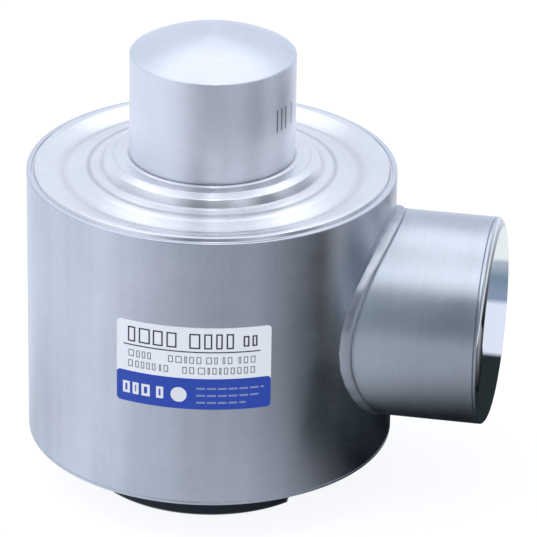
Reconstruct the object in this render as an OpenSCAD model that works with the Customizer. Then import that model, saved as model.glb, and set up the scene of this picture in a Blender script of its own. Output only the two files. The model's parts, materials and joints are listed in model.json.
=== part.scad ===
// Compression load cell: a turned steel column in a welded round housing,
// with a connection chamber welded to its side. Millimetres, +Z up.
// The origin is on the column's axis, in the plane of the foot's face.
// The chamber points along +X and the cable gland along +Y.

/* [Housing] */
// Outside diameter of the housing tube
housing_d = 102; // [98:0.5:110]
// Height from the bottom plate's lower face to the housing's upper edge
housing_h = 79.2; // [76:0.2:96]
// Wall of the housing tube
housing_wall = 4; // [3:0.25:5]
// Radius on the housing's upper outer edge
housing_edge_r = 0.5; // [0.2:0.1:0.7]
// Width of the housing's rim that shows round the top diaphragm
rim_w = 1.4; // [1:0.1:1.8]

/* [Load column] */
// Diameter of the load button
button_d = 45.6; // [42:0.2:50]
// Height of the button's edge above the housing
button_h = 33.1; // [28:0.1:42]
// Rise of the button's domed face
dome_h = 5.9; // [3:0.1:8]
// Chamfer between the button's side and its dome
button_edge = 0.3; // [0.1:0.1:1]
// Step from the button in to the neck that carries the diaphragm
neck_step = 0.6; // [0.4:0.1:1.2]
// Side of the square gauge section
gauge_side = 20; // [18:0.5:22]
// Length of the square gauge section
gauge_len = 34; // [28:0.5:36]
// Diameter that the corners of the gauge section are turned to
gauge_round_d = 27; // [26:0.25:29]
// Diameter of the column's base, above the foot
base_d = 52; // [46:0.5:53]
// Height of the column's base above the bottom plate
base_rise = 2; // [1:0.25:4]

/* [Foot] */
// Diameter of the foot
foot_d = 70; // [64:0.5:76]
// Height of the foot below the bottom plate
foot_h = 12; // [9:0.25:16]
// Width across the foot's two anti-rotation flats
foot_flats = 53; // [48:0.5:60]
// Chamfer round the foot's face
foot_edge = 0.8; // [0.3:0.1:2]

/* [Bottom plate] */
// Thickness of the bottom plate
bottom_t = 4; // [3:0.25:6]
// Thickness of the plate's edge that shows under the housing tube
bottom_edge_t = 1; // [0.8:0.1:2]
// Diameter of the plug in the filling hole
plug_d = 4; // [3:0.25:5]

/* [Top diaphragm] */
// Thickness of the corrugated plate
plate_t = 1; // [0.6:0.1:1.2]
// Thickness of its outer rim
plate_rim_t = 1.8; // [1.6:0.1:2.4]
// Width of the thick part of its rim
plate_rim_w = 3.6; // [3.2:0.1:4.4]
// Height of the inner lip that the button is welded to, above the housing's edge
lip_h = 3.6; // [3.2:0.1:4.4]
// Width of the lip outside the button
lip_w = 4.1; // [3.6:0.1:4.4]
// Fall of the lip from the button outwards
lip_fall = 0.4; // [0.2:0.05:0.6]
// Width of the bevel from the lip down to the shoulder
bevel_w = 2.1; // [1.6:0.1:2.5]
// Height of the shoulder above the housing's edge
shoulder_h = 2.3; // [2:0.1:2.6]
// Width of the steep wall under the shoulder
shoulder_wall_w = 0.75; // [0.5:0.05:1.1]
// Height at which the wall runs out into the cove
cove_h = 0.8; // [0.6:0.1:1.2]
// Width of the cove
cove_w = 3.4; // [2.8:0.1:3.8]
// Height of the small step at the foot of the cove
cove_step = 0.32; // [0.2:0.02:0.4]
// Height of the plate at the foot of that step
flat_h = -0.2; // [-0.4:0.05:0]
// Depth of the outer channel, whose sides are shallow cones
channel_depth = 1.5; // [0.8:0.05:1.8]
// Distance of the channel's bottom from the plate's edge
channel_out = 8.5; // [7.5:0.1:9.5]
// Width of the land between the channel and the plate's edge
land_w = 2.9; // [2.4:0.1:3.4]
// Height of the land above the housing's edge
land_h = -0.05; // [-0.3:0.05:0.2]
// Width of the plate's rounded edge
edge_w = 2.1; // [1.2:0.1:2.3]
// Drop of the plate's rounded edge
edge_drop = 0.45; // [0.3:0.05:0.7]

/* [Connection chamber] */
// Outside diameter of the chamber tube
chamber_d = 57.4; // [52:0.2:62]
// Wall of the chamber tube
chamber_wall = 3.5; // [3:0.25:4.5]
// How far the tube's end stands out from the housing
chamber_reach = 26.9; // [25:0.1:36]
// Leg of the weld bead along the chamber tube
weld_leg_tube = 2.4; // [1.5:0.1:3.5]
// Leg of the weld bead along the housing
weld_leg_housing = 1.6; // [1:0.1:3]

/* [End cap] */
// Thickness of the end cap outside the tube, at its edge
cap_t = 2.2; // [1.8:0.1:3.5]
// Cylindrical land at the cap's edge
cap_land = 0.6; // [0.4:0.1:1]
// Width of the rounded edge, measured towards the axis
cap_round = 4.3; // [2:0.1:6]
// Rise of the polished face at its middle
cap_crown = 0.15; // [0.1:0.05:0.8]
// Depth of the cap's spigot inside the tube
cap_spigot = 3; // [2:0.25:4]
// Depth of the groove between tube and cap
cap_groove = 0.3; // [0.2:0.05:0.5]

/* [Feedthrough and circuit board] */
// Outside diameter of the glass feedthrough
feed_d = 12; // [10:0.25:14]
// Wall of the feedthrough's shell
feed_wall = 1.5; // [1:0.25:2]
// Length of the feedthrough's shell
feed_len = 7; // [6:0.25:8]
// Diameter of its pins
pin_d = 1; // [0.6:0.1:1.2]
// Diameter of the circle of pins
pin_circle_d = 5.2; // [4:0.2:5.6]
// Diameter of the circuit board
board_d = 46; // [42:0.5:48]
// Thickness of the circuit board
board_t = 1.6; // [1:0.1:2]
// Gap from the housing to the circuit board
board_gap = 6; // [5:0.25:7]
// Diameter of the standoffs
standoff_d = 5.5; // [5:0.25:7]
// Diameter of the circle that the standoffs stand on
standoff_circle_d = 36; // [33:0.5:37]
// Thread diameter of the board screws
screw_d = 2.5; // [2:0.25:3]
// How far the screws reach into the standoffs
screw_bite = 3; // [2:0.25:3.5]
// Diameter of the trimming resistors
resistor_d = 2.4; // [1.8:0.1:3]
// Length of the trimming resistors
resistor_l = 4.9; // [4:0.1:5.5]
// Diameter of the solder posts
post_d = 1.2; // [0.8:0.1:1.6]
// Height of the solder posts
post_h = 3; // [2:0.25:5]

/* [Gauges and wiring] */
// Length of a strain gauge's carrier, along the column
gauge_l = 14; // [10:0.5:16]
// Width of a strain gauge's carrier
gauge_w = 10; // [8:0.5:12]
// Thickness of a strain gauge's carrier
gauge_t = 0.3; // [0.2:0.05:0.5]
// Outside diameter of the ring-shaped bridge board
bridge_d = 84; // [80:0.5:90]
// Inside diameter of the ring-shaped bridge board
bridge_hole_d = 63; // [60:0.5:66]
// Height of the bridge board above the bottom plate
bridge_gap = 4; // [3:0.25:6]
// Width of the ribbon leads from the gauges
ribbon_w = 1.4; // [0.8:0.1:1.8]
// Thickness of the ribbon leads
ribbon_t = 0.25; // [0.15:0.05:0.4]
// Diameter of the insulated leads
lead_d = 1.2; // [0.8:0.1:1.4]

/* [Cable gland] */
// Distance of the gland's axis from the housing
gland_out = 13; // [12.5:0.1:14]
// Diameter of the boss that is welded to the chamber
boss_d = 19; // [18:0.25:21]
// Height of the boss's face above the tube
boss_h = 2.6; // [2:0.1:4]
// Thread diameter of the gland
gland_thread_d = 12; // [11:0.25:12.5]
// Width across the flats of the gland's hexagons
gland_flats = 16; // [15:0.25:17]
// Thickness of the body's hexagon
gland_hex_t = 4; // [3:0.25:5]
// Height of the cap nut
gland_nut_h = 9.6; // [9:0.1:11]
// Thickness of the sealing washer
gland_washer_t = 0.8; // [0.5:0.1:1.2]
// Diameter of the hole for the cable
cable_hole_d = 6.2; // [5:0.1:7]
// Length of the rubber seal
seal_len = 6.5; // [5:0.25:6.5]

/* [Label] */
// Width of the label, along the housing
label_w = 42.9; // [35:0.1:50]
// Height of the label
label_h = 24.3; // [20:0.1:30]
// Height of the label's lower edge above the bottom plate's lower face
label_z = 29.4; // [20:0.1:36]
// Turn of the label's middle from the chamber's axis, in degrees
label_turn = -84; // [-100:1:-75]
// Thickness of the label
label_t = 0.15; // [0.1:0.05:0.3]
// Radius of the label's corners
label_corner_r = 1.2; // [0.5:0.1:3]

/* [Hidden] */
$fn = 96;
// Clearance between pieces that are slid together
gap = 0.05;
// Margin by which a cutter stands past what it cuts
over = 1;

housing_r = housing_d / 2;
bore_r = housing_r - housing_wall;
deck_z = foot_h + housing_h;
plate_r = housing_r - rim_w - gap;
seat_z = deck_z - plate_rim_t;
shell_z = foot_h + bottom_edge_t;
bottom_z = foot_h + bottom_t;

button_r = button_d / 2;
neck_r = button_r - neck_step;
rim_z = deck_z + button_h;
dome_r = (pow(button_r - button_edge, 2) + pow(dome_h, 2)) / (2 * dome_h);
gauge_z = foot_h + housing_h / 2;
gauge_lo = gauge_z - gauge_len / 2;
gauge_hi = gauge_z + gauge_len / 2;
gauge_r = gauge_round_d / 2;
base_r = base_d / 2;
base_z = bottom_z + base_rise;
neck_z = (gauge_hi + deck_z) / 2;

chamber_r = chamber_d / 2;
chamber_bore_r = chamber_r - chamber_wall;
chamber_z = foot_h + housing_h / 2;
chamber_end = housing_r + chamber_reach;
cap_face = chamber_end + cap_t;

feed_r = feed_d / 2;
feed_in = housing_r - feed_len + feed_wall;
feed_out = housing_r + feed_wall;
board_x = housing_r + board_gap;
standoff_r = standoff_circle_d / 2;
standoff_turns = [90, 210, 330];
pin_count = 6;
pin_stub = 3;
pin_clear = 0.1;
glass_inset = 0.5;
tap_depth = screw_bite + 1;
resistor_pitch = 6;
resistor_row = 9.5;
resistor_shift = 1.2;
post_count = 5;
post_pitch = 2.4;
post_inset = 5;

gland_x = housing_r + gland_out;
washer_step = 0.25;
socket_wall = 1;
socket_floor = 0.3;
socket_short = 0.5;
boss_face = chamber_r + boss_h;
hex_y = boss_face + gland_washer_t;
body_y = hex_y + gland_hex_t;
nut_gap = 0.3;
nut_y = body_y + nut_gap;
nut_round_h = 3;
seal_r = gland_thread_d / 2 - socket_wall;
seal_floor = body_y + socket_floor;
cable_clear = 0.4;

bridge_z = bottom_z + bridge_gap;
bridge_t = 1.6;
bridge_ring_r = (bridge_d + bridge_hole_d) / 4;
bridge_lead_turns = [-9, -3, 3, 9];
bridge_lead_pins = [4, 5, 1, 2];
// Places on the route of the bridge's leads: in from the board's edge, up from it, and at the pins
lead_inset = 2;
lead_rise = 6.4;
lead_drop = 4;
lead_bends = [2, 4];
gauge_faces = [0, 90, 180, 270];
gauge_tab_l = 1.6;
gauge_tab_inset = 0.2;
// Bends on the route of the gauges' ribbons: on the face, off its lower edge and over the board
ribbon_bends = [2, 2, 1.5];
spacer_turns = [45, 165, 285];
spacer_d = 5;
plug_turn = 135;
plug_out = 1;

// Chamfers at the seam between tube and bottom plate, across and along the wall
seam_w = 0.1;
seam_h = 0.15;
// Narrow forms of the diaphragm: lip's rounding, crease, shoulder's rounding, step and channel's bottom
lip_round_w = 1.2;
crease_w = 0.2;
crease_h = 0.12;
shoulder_w = 0.15;
shoulder_fall = 0.15;
step_w = 0.6;
channel_round = 0.6;
land_round = 0.5;

steel = "#b9c0c8";
turned_steel = "#aeb6c0";
polished_steel = "#dfe3e6";
bead_steel = "#c7cdd4";
board_green = "#2f6b45";
copper = "#b9794a";
amber = "#c98f3a";
glass_blue = "#4d6a80";
nickel = "#c2c0b4";
rubber_black = "#26282a";
lead_red = "#a8352c";
label_white = "#e3e8f4";

// A step between two levels that starts and ends level: a half cosine wave
function step(r0, z0, r1, z1, n = 8) =
    [for (i = [1 : n]) [r0 + (r1 - r0) * i / n, z0 + (z1 - z0) * (1 - cos(180 * i / n)) / 2]];

// A straight run in equal pieces, both ends included
function ramp(r0, z0, r1, z1, n = 6) = [for (i = [0 : n]) [r0 + (r1 - r0) * i / n, z0 + (z1 - z0) * i / n]];

// A hollow quarter of an ellipse, upright where it starts and level where it ends
function cove(r0, z0, r1, z1, n = 8) =
    [for (i = [1 : n]) [r1 - (r1 - r0) * cos(90 * i / n), z0 - (z0 - z1) * sin(90 * i / n)]];

// A rounded quarter of an ellipse, level where it starts and upright where it ends
function round_edge(r0, z0, r1, z1, n = 6) =
    [for (i = [1 : n]) [r0 + (r1 - r0) * sin(90 * i / n), z1 + (z0 - z1) * cos(90 * i / n)]];

// The direction at right angles to the run from a to b, on its left
function left_of(a, b) = let (run = b - a) [-run[1], run[0]] / norm(run);

// Outline of a strip of thickness t on the left of a path, with mitred bends
function strip(points, t) =
    let (last = len(points) - 1)
    concat(points, [for (i = [last : -1 : 0])
        let (before = left_of(points[max(i - 1, 0)], points[max(i, 1)]),
            after = left_of(points[min(i, last - 1)], points[min(i + 1, last)]),
            both = before + after)
        points[i] + both * 2 * t / pow(norm(both), 2)]);

// The order of a list of points turned round
function reversed(points) = [for (i = [len(points) - 1 : -1 : 0]) points[i]];

// Moves its children from the vertical axis to the chamber's axis, +Z to +X
module on_chamber(x = 0) {
    translate([x, 0, chamber_z]) rotate([0, 90, 0]) children();
}

// Moves its children from the vertical axis to the gland's axis, +Z to +Y
module on_gland(y = 0) {
    translate([gland_x, y, chamber_z]) rotate([-90, 0, 0]) children();
}

// A round wire through a list of points, with a thicker ball at each bend
module wire(points, d) {
    for (i = [0 : len(points) - 2]) {
        run = points[i + 1] - points[i];
        translate(points[i])
            rotate([0, acos(run[2] / norm(run)), atan2(run[1], run[0])])
                cylinder(h = norm(run), d = d, $fn = 24);
    }
    for (i = [1 : len(points) - 2])
        translate(points[i]) sphere(d = 1.5 * d, $fn = 24);
}

// A hexagonal prism of a given width across its flats
module hexagon(flats, h) {
    cylinder(h = h, d = flats / cos(30), $fn = 6);
}

// Column turned from one bar: foot, base, square gauge section, neck and domed button
module spring_element() {
    lower = concat(
        [[0, 0], [foot_d / 2 - foot_edge, 0], [foot_d / 2, foot_edge], [foot_d / 2, foot_h],
            [base_r, foot_h], [base_r, base_z]],
        reversed(concat([[gauge_r, gauge_lo]], cove(gauge_r, gauge_lo, base_r, base_z))));
    upper = concat(
        [[gauge_r, gauge_hi]],
        [for (p = cove(gauge_r, -gauge_hi, neck_r, -neck_z)) [p[0], -p[1]]],
        [[neck_r, deck_z + lip_h], [button_r, deck_z + lip_h], [button_r, rim_z - button_edge],
            [button_r - button_edge, rim_z], [0, rim_z]]);
    color(turned_steel)
    union() {
        difference() {
            rotate_extrude() polygon(concat(lower, upper));
            for (turn = gauge_faces)
                rotate(turn)
                    translate([gauge_side / 2, -housing_r, gauge_lo])
                        cube([housing_r, housing_d, gauge_len]);
            for (turn = [0, 180])
                rotate(turn)
                    translate([foot_flats / 2, -foot_d, -over])
                        cube([foot_d, 2 * foot_d, foot_h + over]);
        }
        intersection() {
            translate([0, 0, rim_z + dome_h - dome_r]) sphere(r = dome_r);
            translate([0, 0, rim_z]) cylinder(h = dome_h + over, r = button_r);
        }
    }
}

// Upper face of the diaphragm as heights over the housing's edge, from the neck outwards
lip_r = button_r + lip_w;
lip_edge_h = lip_h - lip_fall;
bevel_r = lip_r + crease_w;
shoulder_r = bevel_r + bevel_w;
shoulder_out = shoulder_r + shoulder_w;
cove_in = shoulder_out + shoulder_wall_w;
cove_r = cove_in + cove_w;
step_r = cove_r + step_w;
channel_r = plate_r - channel_out;
channel_h = flat_h - channel_depth;
channel_rise = channel_round * channel_depth / (channel_r - step_r);
land_r = plate_r - land_w;
plate_top = concat(
    [[neck_r + gap, lip_h], [button_r, lip_h]],
    step(button_r, lip_h, button_r + lip_round_w, lip_edge_h),
    [[lip_r, lip_edge_h], [bevel_r, lip_edge_h - crease_h], [shoulder_r, shoulder_h],
        [shoulder_out, shoulder_h - shoulder_fall], [cove_in, cove_h]],
    cove(cove_in, cove_h, cove_r, flat_h + cove_step),
    step(cove_r, flat_h + cove_step, step_r, flat_h, 4),
    ramp(step_r, flat_h, channel_r - channel_round, channel_h + channel_rise),
    [[channel_r, channel_h + channel_rise / 2]],
    ramp(channel_r + channel_round, channel_h + channel_rise, land_r - land_round, land_h - channel_rise),
    [[land_r, land_h], [plate_r - edge_w, land_h]],
    round_edge(plate_r - edge_w, land_h, plate_r, land_h - edge_drop));

// Corrugated plate that closes the housing's top and lets the column move
module top_diaphragm() {
    rim_in = plate_r - plate_rim_w;
    under = [for (p = plate_top) if (p[0] < rim_in) [p[0], p[1] - plate_t]];
    color(steel)
    translate([0, 0, deck_z])
        rotate_extrude()
            polygon(concat(plate_top, [[plate_r, -plate_rim_t], [rim_in, -plate_rim_t]],
                [[rim_in, under[len(under) - 1][1]]], reversed(under)));
}

// Tube of the housing, with a seat for the diaphragm and a hole for the feedthrough
module housing_shell() {
    edge = min(housing_edge_r, rim_w);
    profile = concat(
        [[bore_r, shell_z], [housing_r - seam_w, shell_z], [housing_r, shell_z + seam_h]],
        reversed(round_edge(housing_r - edge, deck_z, housing_r, deck_z - edge)),
        [[housing_r - edge, deck_z], [housing_r - rim_w, deck_z],
            [housing_r - rim_w, seat_z], [bore_r, seat_z]]);
    color(steel)
    difference() {
        rotate_extrude() polygon(profile);
        on_chamber() cylinder(h = housing_d, r = feed_r + gap);
    }
}

// Plate that closes the housing's bottom round the column's base
module bottom_plate() {
    edge = bottom_edge_t / 2;
    face_r = housing_r - edge;
    profile = concat(
        [[base_r + gap, foot_h], [face_r, foot_h]],
        [for (p = round_edge(face_r, -foot_h, housing_r, -foot_h - edge)) [p[0], -p[1]]],
        [[housing_r, shell_z - seam_h], [housing_r - seam_w, shell_z], [bore_r - gap, shell_z],
            [bore_r - gap, bottom_z], [base_r + gap, bottom_z]]);
    color(steel)
    difference() {
        rotate_extrude() polygon(profile);
        fill_hole(plug_d / 2 + gap, over);
    }
}

// Filling hole in the bottom plate, opposite the chamber
module fill_hole(r, past) {
    rotate(plug_turn)
        translate([(base_r + bore_r) / 2 + plug_out, 0, foot_h - past])
            cylinder(h = bottom_t + 2 * past, r = r);
}

// Plug that closes the filling hole
module fill_plug() {
    color(steel) fill_hole(plug_d / 2, 0);
}

// Foil gauge on a face of the gauge section: a carrier with an axial and a cross grid
module strain_gauge(turn) {
    lines = 5;
    pitch = gauge_w / 12;
    foil = gauge_t / 3;
    carrier = gauge_t - foil;
    color(amber)
    rotate(turn)
        translate([gauge_side / 2, 0, gauge_z]) {
            translate([0, -gauge_w / 2, -gauge_l / 2])
                cube([carrier, gauge_w, gauge_l]);
            for (i = [0 : lines - 1]) {
                translate([carrier, (i - lines / 2) * pitch, 0.06 * gauge_l])
                    cube([foil, pitch / 2, 0.36 * gauge_l]);
                translate([carrier, -0.3 * gauge_w, -0.03 * gauge_l - i * pitch])
                    cube([foil, 0.6 * gauge_w, pitch / 2]);
            }
            for (side = [-1, 1])
                translate([carrier, side * gauge_w / 5 - pitch, gauge_tab_inset - gauge_l / 2])
                    cube([foil, 2 * pitch, gauge_tab_l]);
        }
}

// Flat ribbon leads from each gauge's tabs down to the bridge board
module gauge_leads() {
    face = gauge_side / 2 + gauge_t;
    tab_z = gauge_z - gauge_l / 2 + gauge_tab_l;
    land_r = bridge_ring_r - ribbon_w;
    board_top = bridge_z + bridge_t;
    route = [[face, tab_z], [face, gauge_lo + ribbon_bends[0]], [gauge_r + ribbon_bends[1], gauge_lo],
        [land_r, board_top + ribbon_bends[2]], [land_r, board_top]];
    color(copper)
    for (turn = gauge_faces, side = [-1, 1])
        rotate(turn)
            translate([0, side * gauge_w / 5 + ribbon_w / 2, 0])
                rotate([90, 0, 0])
                    linear_extrude(ribbon_w) polygon(strip(route, ribbon_t));
}

// Ring-shaped board on which the four gauges are joined into a bridge
module bridge_board() {
    color(board_green)
    translate([0, 0, bridge_z])
        difference() {
            cylinder(h = bridge_t, d = bridge_d);
            translate([0, 0, -over]) cylinder(h = bridge_t + 2 * over, d = bridge_hole_d);
        }
}

// Spacers that carry the bridge board on the bottom plate
module board_spacers() {
    color(nickel)
    for (turn = spacer_turns)
        rotate(turn)
            translate([bridge_ring_r, 0, bottom_z])
                cylinder(h = bridge_gap, d = spacer_d);
}

// Insulated leads from the bridge board up to the feedthrough's inner pins
module bridge_leads() {
    pin_end = feed_in - pin_stub;
    land_r = bridge_d / 2 - lead_inset;
    board_top = bridge_z + bridge_t;
    color(lead_red)
    for (i = [0 : len(bridge_lead_turns) - 1]) {
        turn = bridge_lead_turns[i];
        pin = pin_place(bridge_lead_pins[i]);
        elbow = pin_end - lead_bends[pin[1] > 0 ? 1 : 0];
        wire([[land_r * cos(turn), land_r * sin(turn), board_top],
            [land_r * cos(turn), land_r * sin(turn), board_top + lead_rise],
            [elbow, pin[0], chamber_z + pin[1] - lead_drop],
            [elbow, pin[0], chamber_z + pin[1]],
            [pin_end, pin[0], chamber_z + pin[1]]], lead_d);
    }
}

// Place of a feedthrough pin across the chamber's axis, as [y, z]
function pin_place(i) = let (turn = 360 * (i + 0.5) / pin_count - 120)
    [pin_circle_d / 2 * cos(turn), pin_circle_d / 2 * sin(turn)];

// Puts its children at each feedthrough pin
module at_pins() {
    for (i = [0 : pin_count - 1])
        translate([0, pin_place(i)[0], pin_place(i)[1]]) children();
}

// Steel shell of the glass feedthrough, welded into the housing's wall
module feedthrough_shell() {
    color(nickel)
    on_chamber(feed_in)
        difference() {
            cylinder(h = feed_out - feed_in, r = feed_r);
            translate([0, 0, -over]) cylinder(h = feed_len + 2 * over, r = feed_r - feed_wall);
        }
}

// Glass that holds the pins in the shell
module feedthrough_glass() {
    color(glass_blue)
    difference() {
        on_chamber(feed_in + glass_inset)
            cylinder(h = feed_len - 2 * glass_inset, r = feed_r - feed_wall);
        at_pins() on_chamber() cylinder(h = housing_d, d = pin_d, $fn = 24);
    }
}

// Pins that carry the signal through the wall to the circuit board
module feedthrough_pins() {
    color(copper)
    at_pins()
        on_chamber(feed_in - pin_stub)
            cylinder(h = board_x + board_t + pin_d - feed_in + pin_stub, d = pin_d, $fn = 24);
}

// Tube of the connection chamber, its inner end cut to fit the housing
module chamber_tube() {
    color(steel)
    difference() {
        on_chamber() cylinder(h = chamber_end, r = chamber_r);
        on_chamber() cylinder(h = chamber_end + over, r = chamber_bore_r);
        cylinder(h = 2 * deck_z, r = housing_r + gap);
        on_gland() cylinder(h = 2 * chamber_r, r = gland_thread_d / 2 + gap);
    }
}

// Rounded weld bead round the root of the chamber
module chamber_weld() {
    layers = 5;
    color(bead_steel)
    difference() {
        for (i = [1 : layers]) {
            turn = 90 * (i - 0.5) / layers;
            intersection() {
                on_chamber() cylinder(h = chamber_end, r = chamber_r + weld_leg_housing * cos(turn));
                cylinder(h = 2 * deck_z, r = housing_r + weld_leg_tube * sin(turn));
            }
        }
        on_chamber() cylinder(h = chamber_end, r = chamber_r);
        cylinder(h = 2 * deck_z, r = housing_r);
    }
}

// Polished disc that closes the chamber, with a spigot inside the tube
module end_cap() {
    face_r = chamber_r - cap_round;
    crown_r = (pow(face_r, 2) + pow(cap_crown, 2)) / (2 * cap_crown);
    crown_steps = 6;
    profile = concat(
        [[0, -cap_spigot], [chamber_bore_r - gap, -cap_spigot], [chamber_bore_r - gap, 0],
            [chamber_r - cap_groove, 0], [chamber_r, cap_groove], [chamber_r, cap_land]],
        reversed(round_edge(face_r, cap_t, chamber_r, cap_land)),
        [for (i = [0 : crown_steps])
            let (r = face_r * (1 - i / crown_steps))
            [r, cap_t + cap_crown - crown_r + sqrt(pow(crown_r, 2) - pow(r, 2))]]);
    color(polished_steel)
    on_chamber(chamber_end) rotate_extrude() polygon(profile);
}

// Puts its children on each standoff's axis, at the housing's middle
module at_standoffs() {
    for (turn = standoff_turns)
        translate([0, standoff_r * cos(turn), standoff_r * sin(turn)]) children();
}

// Round board in the chamber that trims the bridge and takes the cable's wires
module circuit_board() {
    color(board_green)
    difference() {
        on_chamber(board_x) cylinder(h = board_t, d = board_d);
        at_pins() on_chamber() cylinder(h = chamber_end, d = pin_d + 2 * pin_clear, $fn = 24);
        at_standoffs() on_chamber() cylinder(h = chamber_end, r = screw_d / 2 + gap);
    }
}

// Standoffs welded to the housing's wall, with a tapped hole for a screw
module board_standoffs() {
    color(nickel)
    difference() {
        at_standoffs() on_chamber() cylinder(h = board_x, d = standoff_d);
        cylinder(h = 2 * deck_z, r = housing_r);
        at_standoffs() on_chamber(board_x - tap_depth) cylinder(h = tap_depth + over, r = screw_d / 2 + gap);
    }
}

// Screws that hold the circuit board on its standoffs
module board_screws() {
    head_h = 0.6 * screw_d;
    color(nickel)
    at_standoffs()
        on_chamber(board_x + board_t) {
            cylinder(h = head_h, d = 1.9 * screw_d);
            translate([0, 0, -board_t - screw_bite]) cylinder(h = board_t + screw_bite, d = screw_d);
        }
}

// Small resistors that lie on the circuit board
module trim_resistors() {
    color(lead_red)
    for (i = [-1 : 1], side = [-1, 1])
        translate([board_x + board_t + resistor_d / 2,
                i * resistor_pitch + side * resistor_shift - resistor_l / 2,
                chamber_z + side * resistor_row])
            rotate([-90, 0, 0])
                cylinder(h = resistor_l, d = resistor_d, $fn = 24);
}

// Row of posts to which the cable's wires are soldered
module solder_posts() {
    color(copper)
    for (i = [0 : post_count - 1])
        translate([0, board_d / 2 - post_inset, post_pitch * (i - (post_count - 1) / 2)])
            on_chamber(board_x + board_t) cylinder(h = post_h, d = post_d, $fn = 24);
}

// Boss welded to the back of the chamber, which the gland screws into
module gland_boss() {
    color(steel)
    difference() {
        on_gland() cylinder(h = boss_face, d = boss_d);
        on_gland() cylinder(h = boss_face + over, r = gland_thread_d / 2 + gap);
        on_chamber() cylinder(h = 2 * chamber_end, r = chamber_r + gap);
    }
}

// Flat washer that seals the gland's body on the boss
module gland_washer() {
    color(rubber_black)
    on_gland(boss_face)
        difference() {
            cylinder(h = gland_washer_t, d = gland_flats - 2 * washer_step);
            translate([0, 0, -over])
                cylinder(h = gland_washer_t + 2 * over, r = gland_thread_d / 2 + gap);
        }
}

// Body of the cable gland: thread, hexagon and the socket that holds the seal
module gland_body() {
    thread_l = hex_y - chamber_bore_r;
    socket_end = seal_floor + seal_len - socket_short;
    color(nickel)
    difference() {
        union() {
            on_gland(chamber_bore_r) cylinder(h = thread_l, d = gland_thread_d);
            on_gland(hex_y) hexagon(gland_flats, gland_hex_t);
            on_gland(body_y) cylinder(h = socket_end - body_y, d = gland_thread_d);
        }
        on_gland() cylinder(h = 2 * chamber_r, r = cable_hole_d / 2 + cable_clear);
        on_gland(seal_floor) cylinder(h = seal_len, r = seal_r + gap);
    }
}

// Rubber seal that grips the cable
module gland_seal() {
    color(rubber_black)
    on_gland(seal_floor)
        difference() {
            cylinder(h = seal_len, r = seal_r);
            translate([0, 0, -over]) cylinder(h = seal_len + 2 * over, d = cable_hole_d);
        }
}

// Cap nut that presses the seal on the cable
module gland_nut() {
    roof_y = seal_floor + seal_len;
    top_y = nut_y + gland_nut_h;
    color(nickel)
    difference() {
        union() {
            on_gland(nut_y) hexagon(gland_flats, gland_nut_h - nut_round_h);
            on_gland(nut_y)
                rotate_extrude()
                    polygon(concat([[0, 0], [gland_flats / 2, 0]],
                        reversed(round_edge(gland_flats / 2 - nut_round_h, gland_nut_h,
                            gland_flats / 2, gland_nut_h - nut_round_h)),
                        [[gland_flats / 2 - nut_round_h, gland_nut_h], [0, gland_nut_h]]));
        }
        on_gland(nut_y - over)
            cylinder(h = roof_y - nut_y + over, r = gland_thread_d / 2 + gap);
        on_gland(nut_y) cylinder(h = top_y, r = cable_hole_d / 2 + cable_clear);
    }
}

// Film label that lies on the housing's wall
module label() {
    middle_z = foot_h + label_z + label_h / 2;
    half_turn = 90 * label_w / (PI * housing_r);
    half_chord = housing_r * sin(half_turn);
    color(label_white)
    rotate(label_turn)
        intersection() {
            translate([0, 0, foot_h])
                difference() {
                    cylinder(h = housing_h, r = housing_r + label_t);
                    translate([0, 0, -over]) cylinder(h = housing_h + 2 * over, r = housing_r);
                }
            translate([0, 0, middle_z])
                rotate([90, 0, 90])
                    linear_extrude(housing_d)
                        rounded_field(2 * half_chord, label_h, label_corner_r);
        }
}

// Flat field with rounded corners, about its middle
module rounded_field(w, h, r) {
    square([w - 2 * r, h], center = true);
    square([w, h - 2 * r], center = true);
    for (x = [-1, 1], y = [-1, 1])
        translate([x * (w / 2 - r), y * (h / 2 - r)]) circle(r = r, $fn = 32);
}

spring_element();
top_diaphragm();
housing_shell();
bottom_plate();
fill_plug();
strain_gauge(gauge_faces[0]);  // strain_gauge_1
strain_gauge(gauge_faces[1]);  // strain_gauge_2
strain_gauge(gauge_faces[2]);  // strain_gauge_3
strain_gauge(gauge_faces[3]);  // strain_gauge_4
gauge_leads();
bridge_board();
board_spacers();
bridge_leads();
feedthrough_shell();
feedthrough_glass();
feedthrough_pins();
chamber_tube();
chamber_weld();
end_cap();
circuit_board();
board_standoffs();
board_screws();
trim_resistors();
solder_posts();
gland_boss();
gland_washer();
gland_body();
gland_seal();
gland_nut();
label();
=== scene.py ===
"""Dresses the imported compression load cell: fine steel surfaces, a film label and a plain studio."""

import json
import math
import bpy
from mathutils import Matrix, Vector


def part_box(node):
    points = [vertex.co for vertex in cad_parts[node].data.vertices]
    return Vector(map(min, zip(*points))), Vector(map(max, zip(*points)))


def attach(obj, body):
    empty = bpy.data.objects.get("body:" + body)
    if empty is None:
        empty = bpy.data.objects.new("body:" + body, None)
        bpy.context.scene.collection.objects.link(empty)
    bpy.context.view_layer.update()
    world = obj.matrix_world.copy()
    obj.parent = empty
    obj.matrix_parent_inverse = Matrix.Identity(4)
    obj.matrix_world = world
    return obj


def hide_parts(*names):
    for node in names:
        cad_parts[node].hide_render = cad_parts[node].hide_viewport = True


bl_info = {
    "name": "Compression load cell",
    "version": (1, 0, 0),
    "blender": (4, 5, 0),
    "location": "3D View > Sidebar > Load cell",
    "description": "Builds the finished surfaces of a welded canister load cell and its studio",
    "category": "Object",
}

import bmesh
import bpy
import numpy as np
from bpy.props import FloatProperty, FloatVectorProperty, PointerProperty
from bpy.types import Operator, Panel, PropertyGroup
from mathutils import Matrix, Vector

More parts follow.
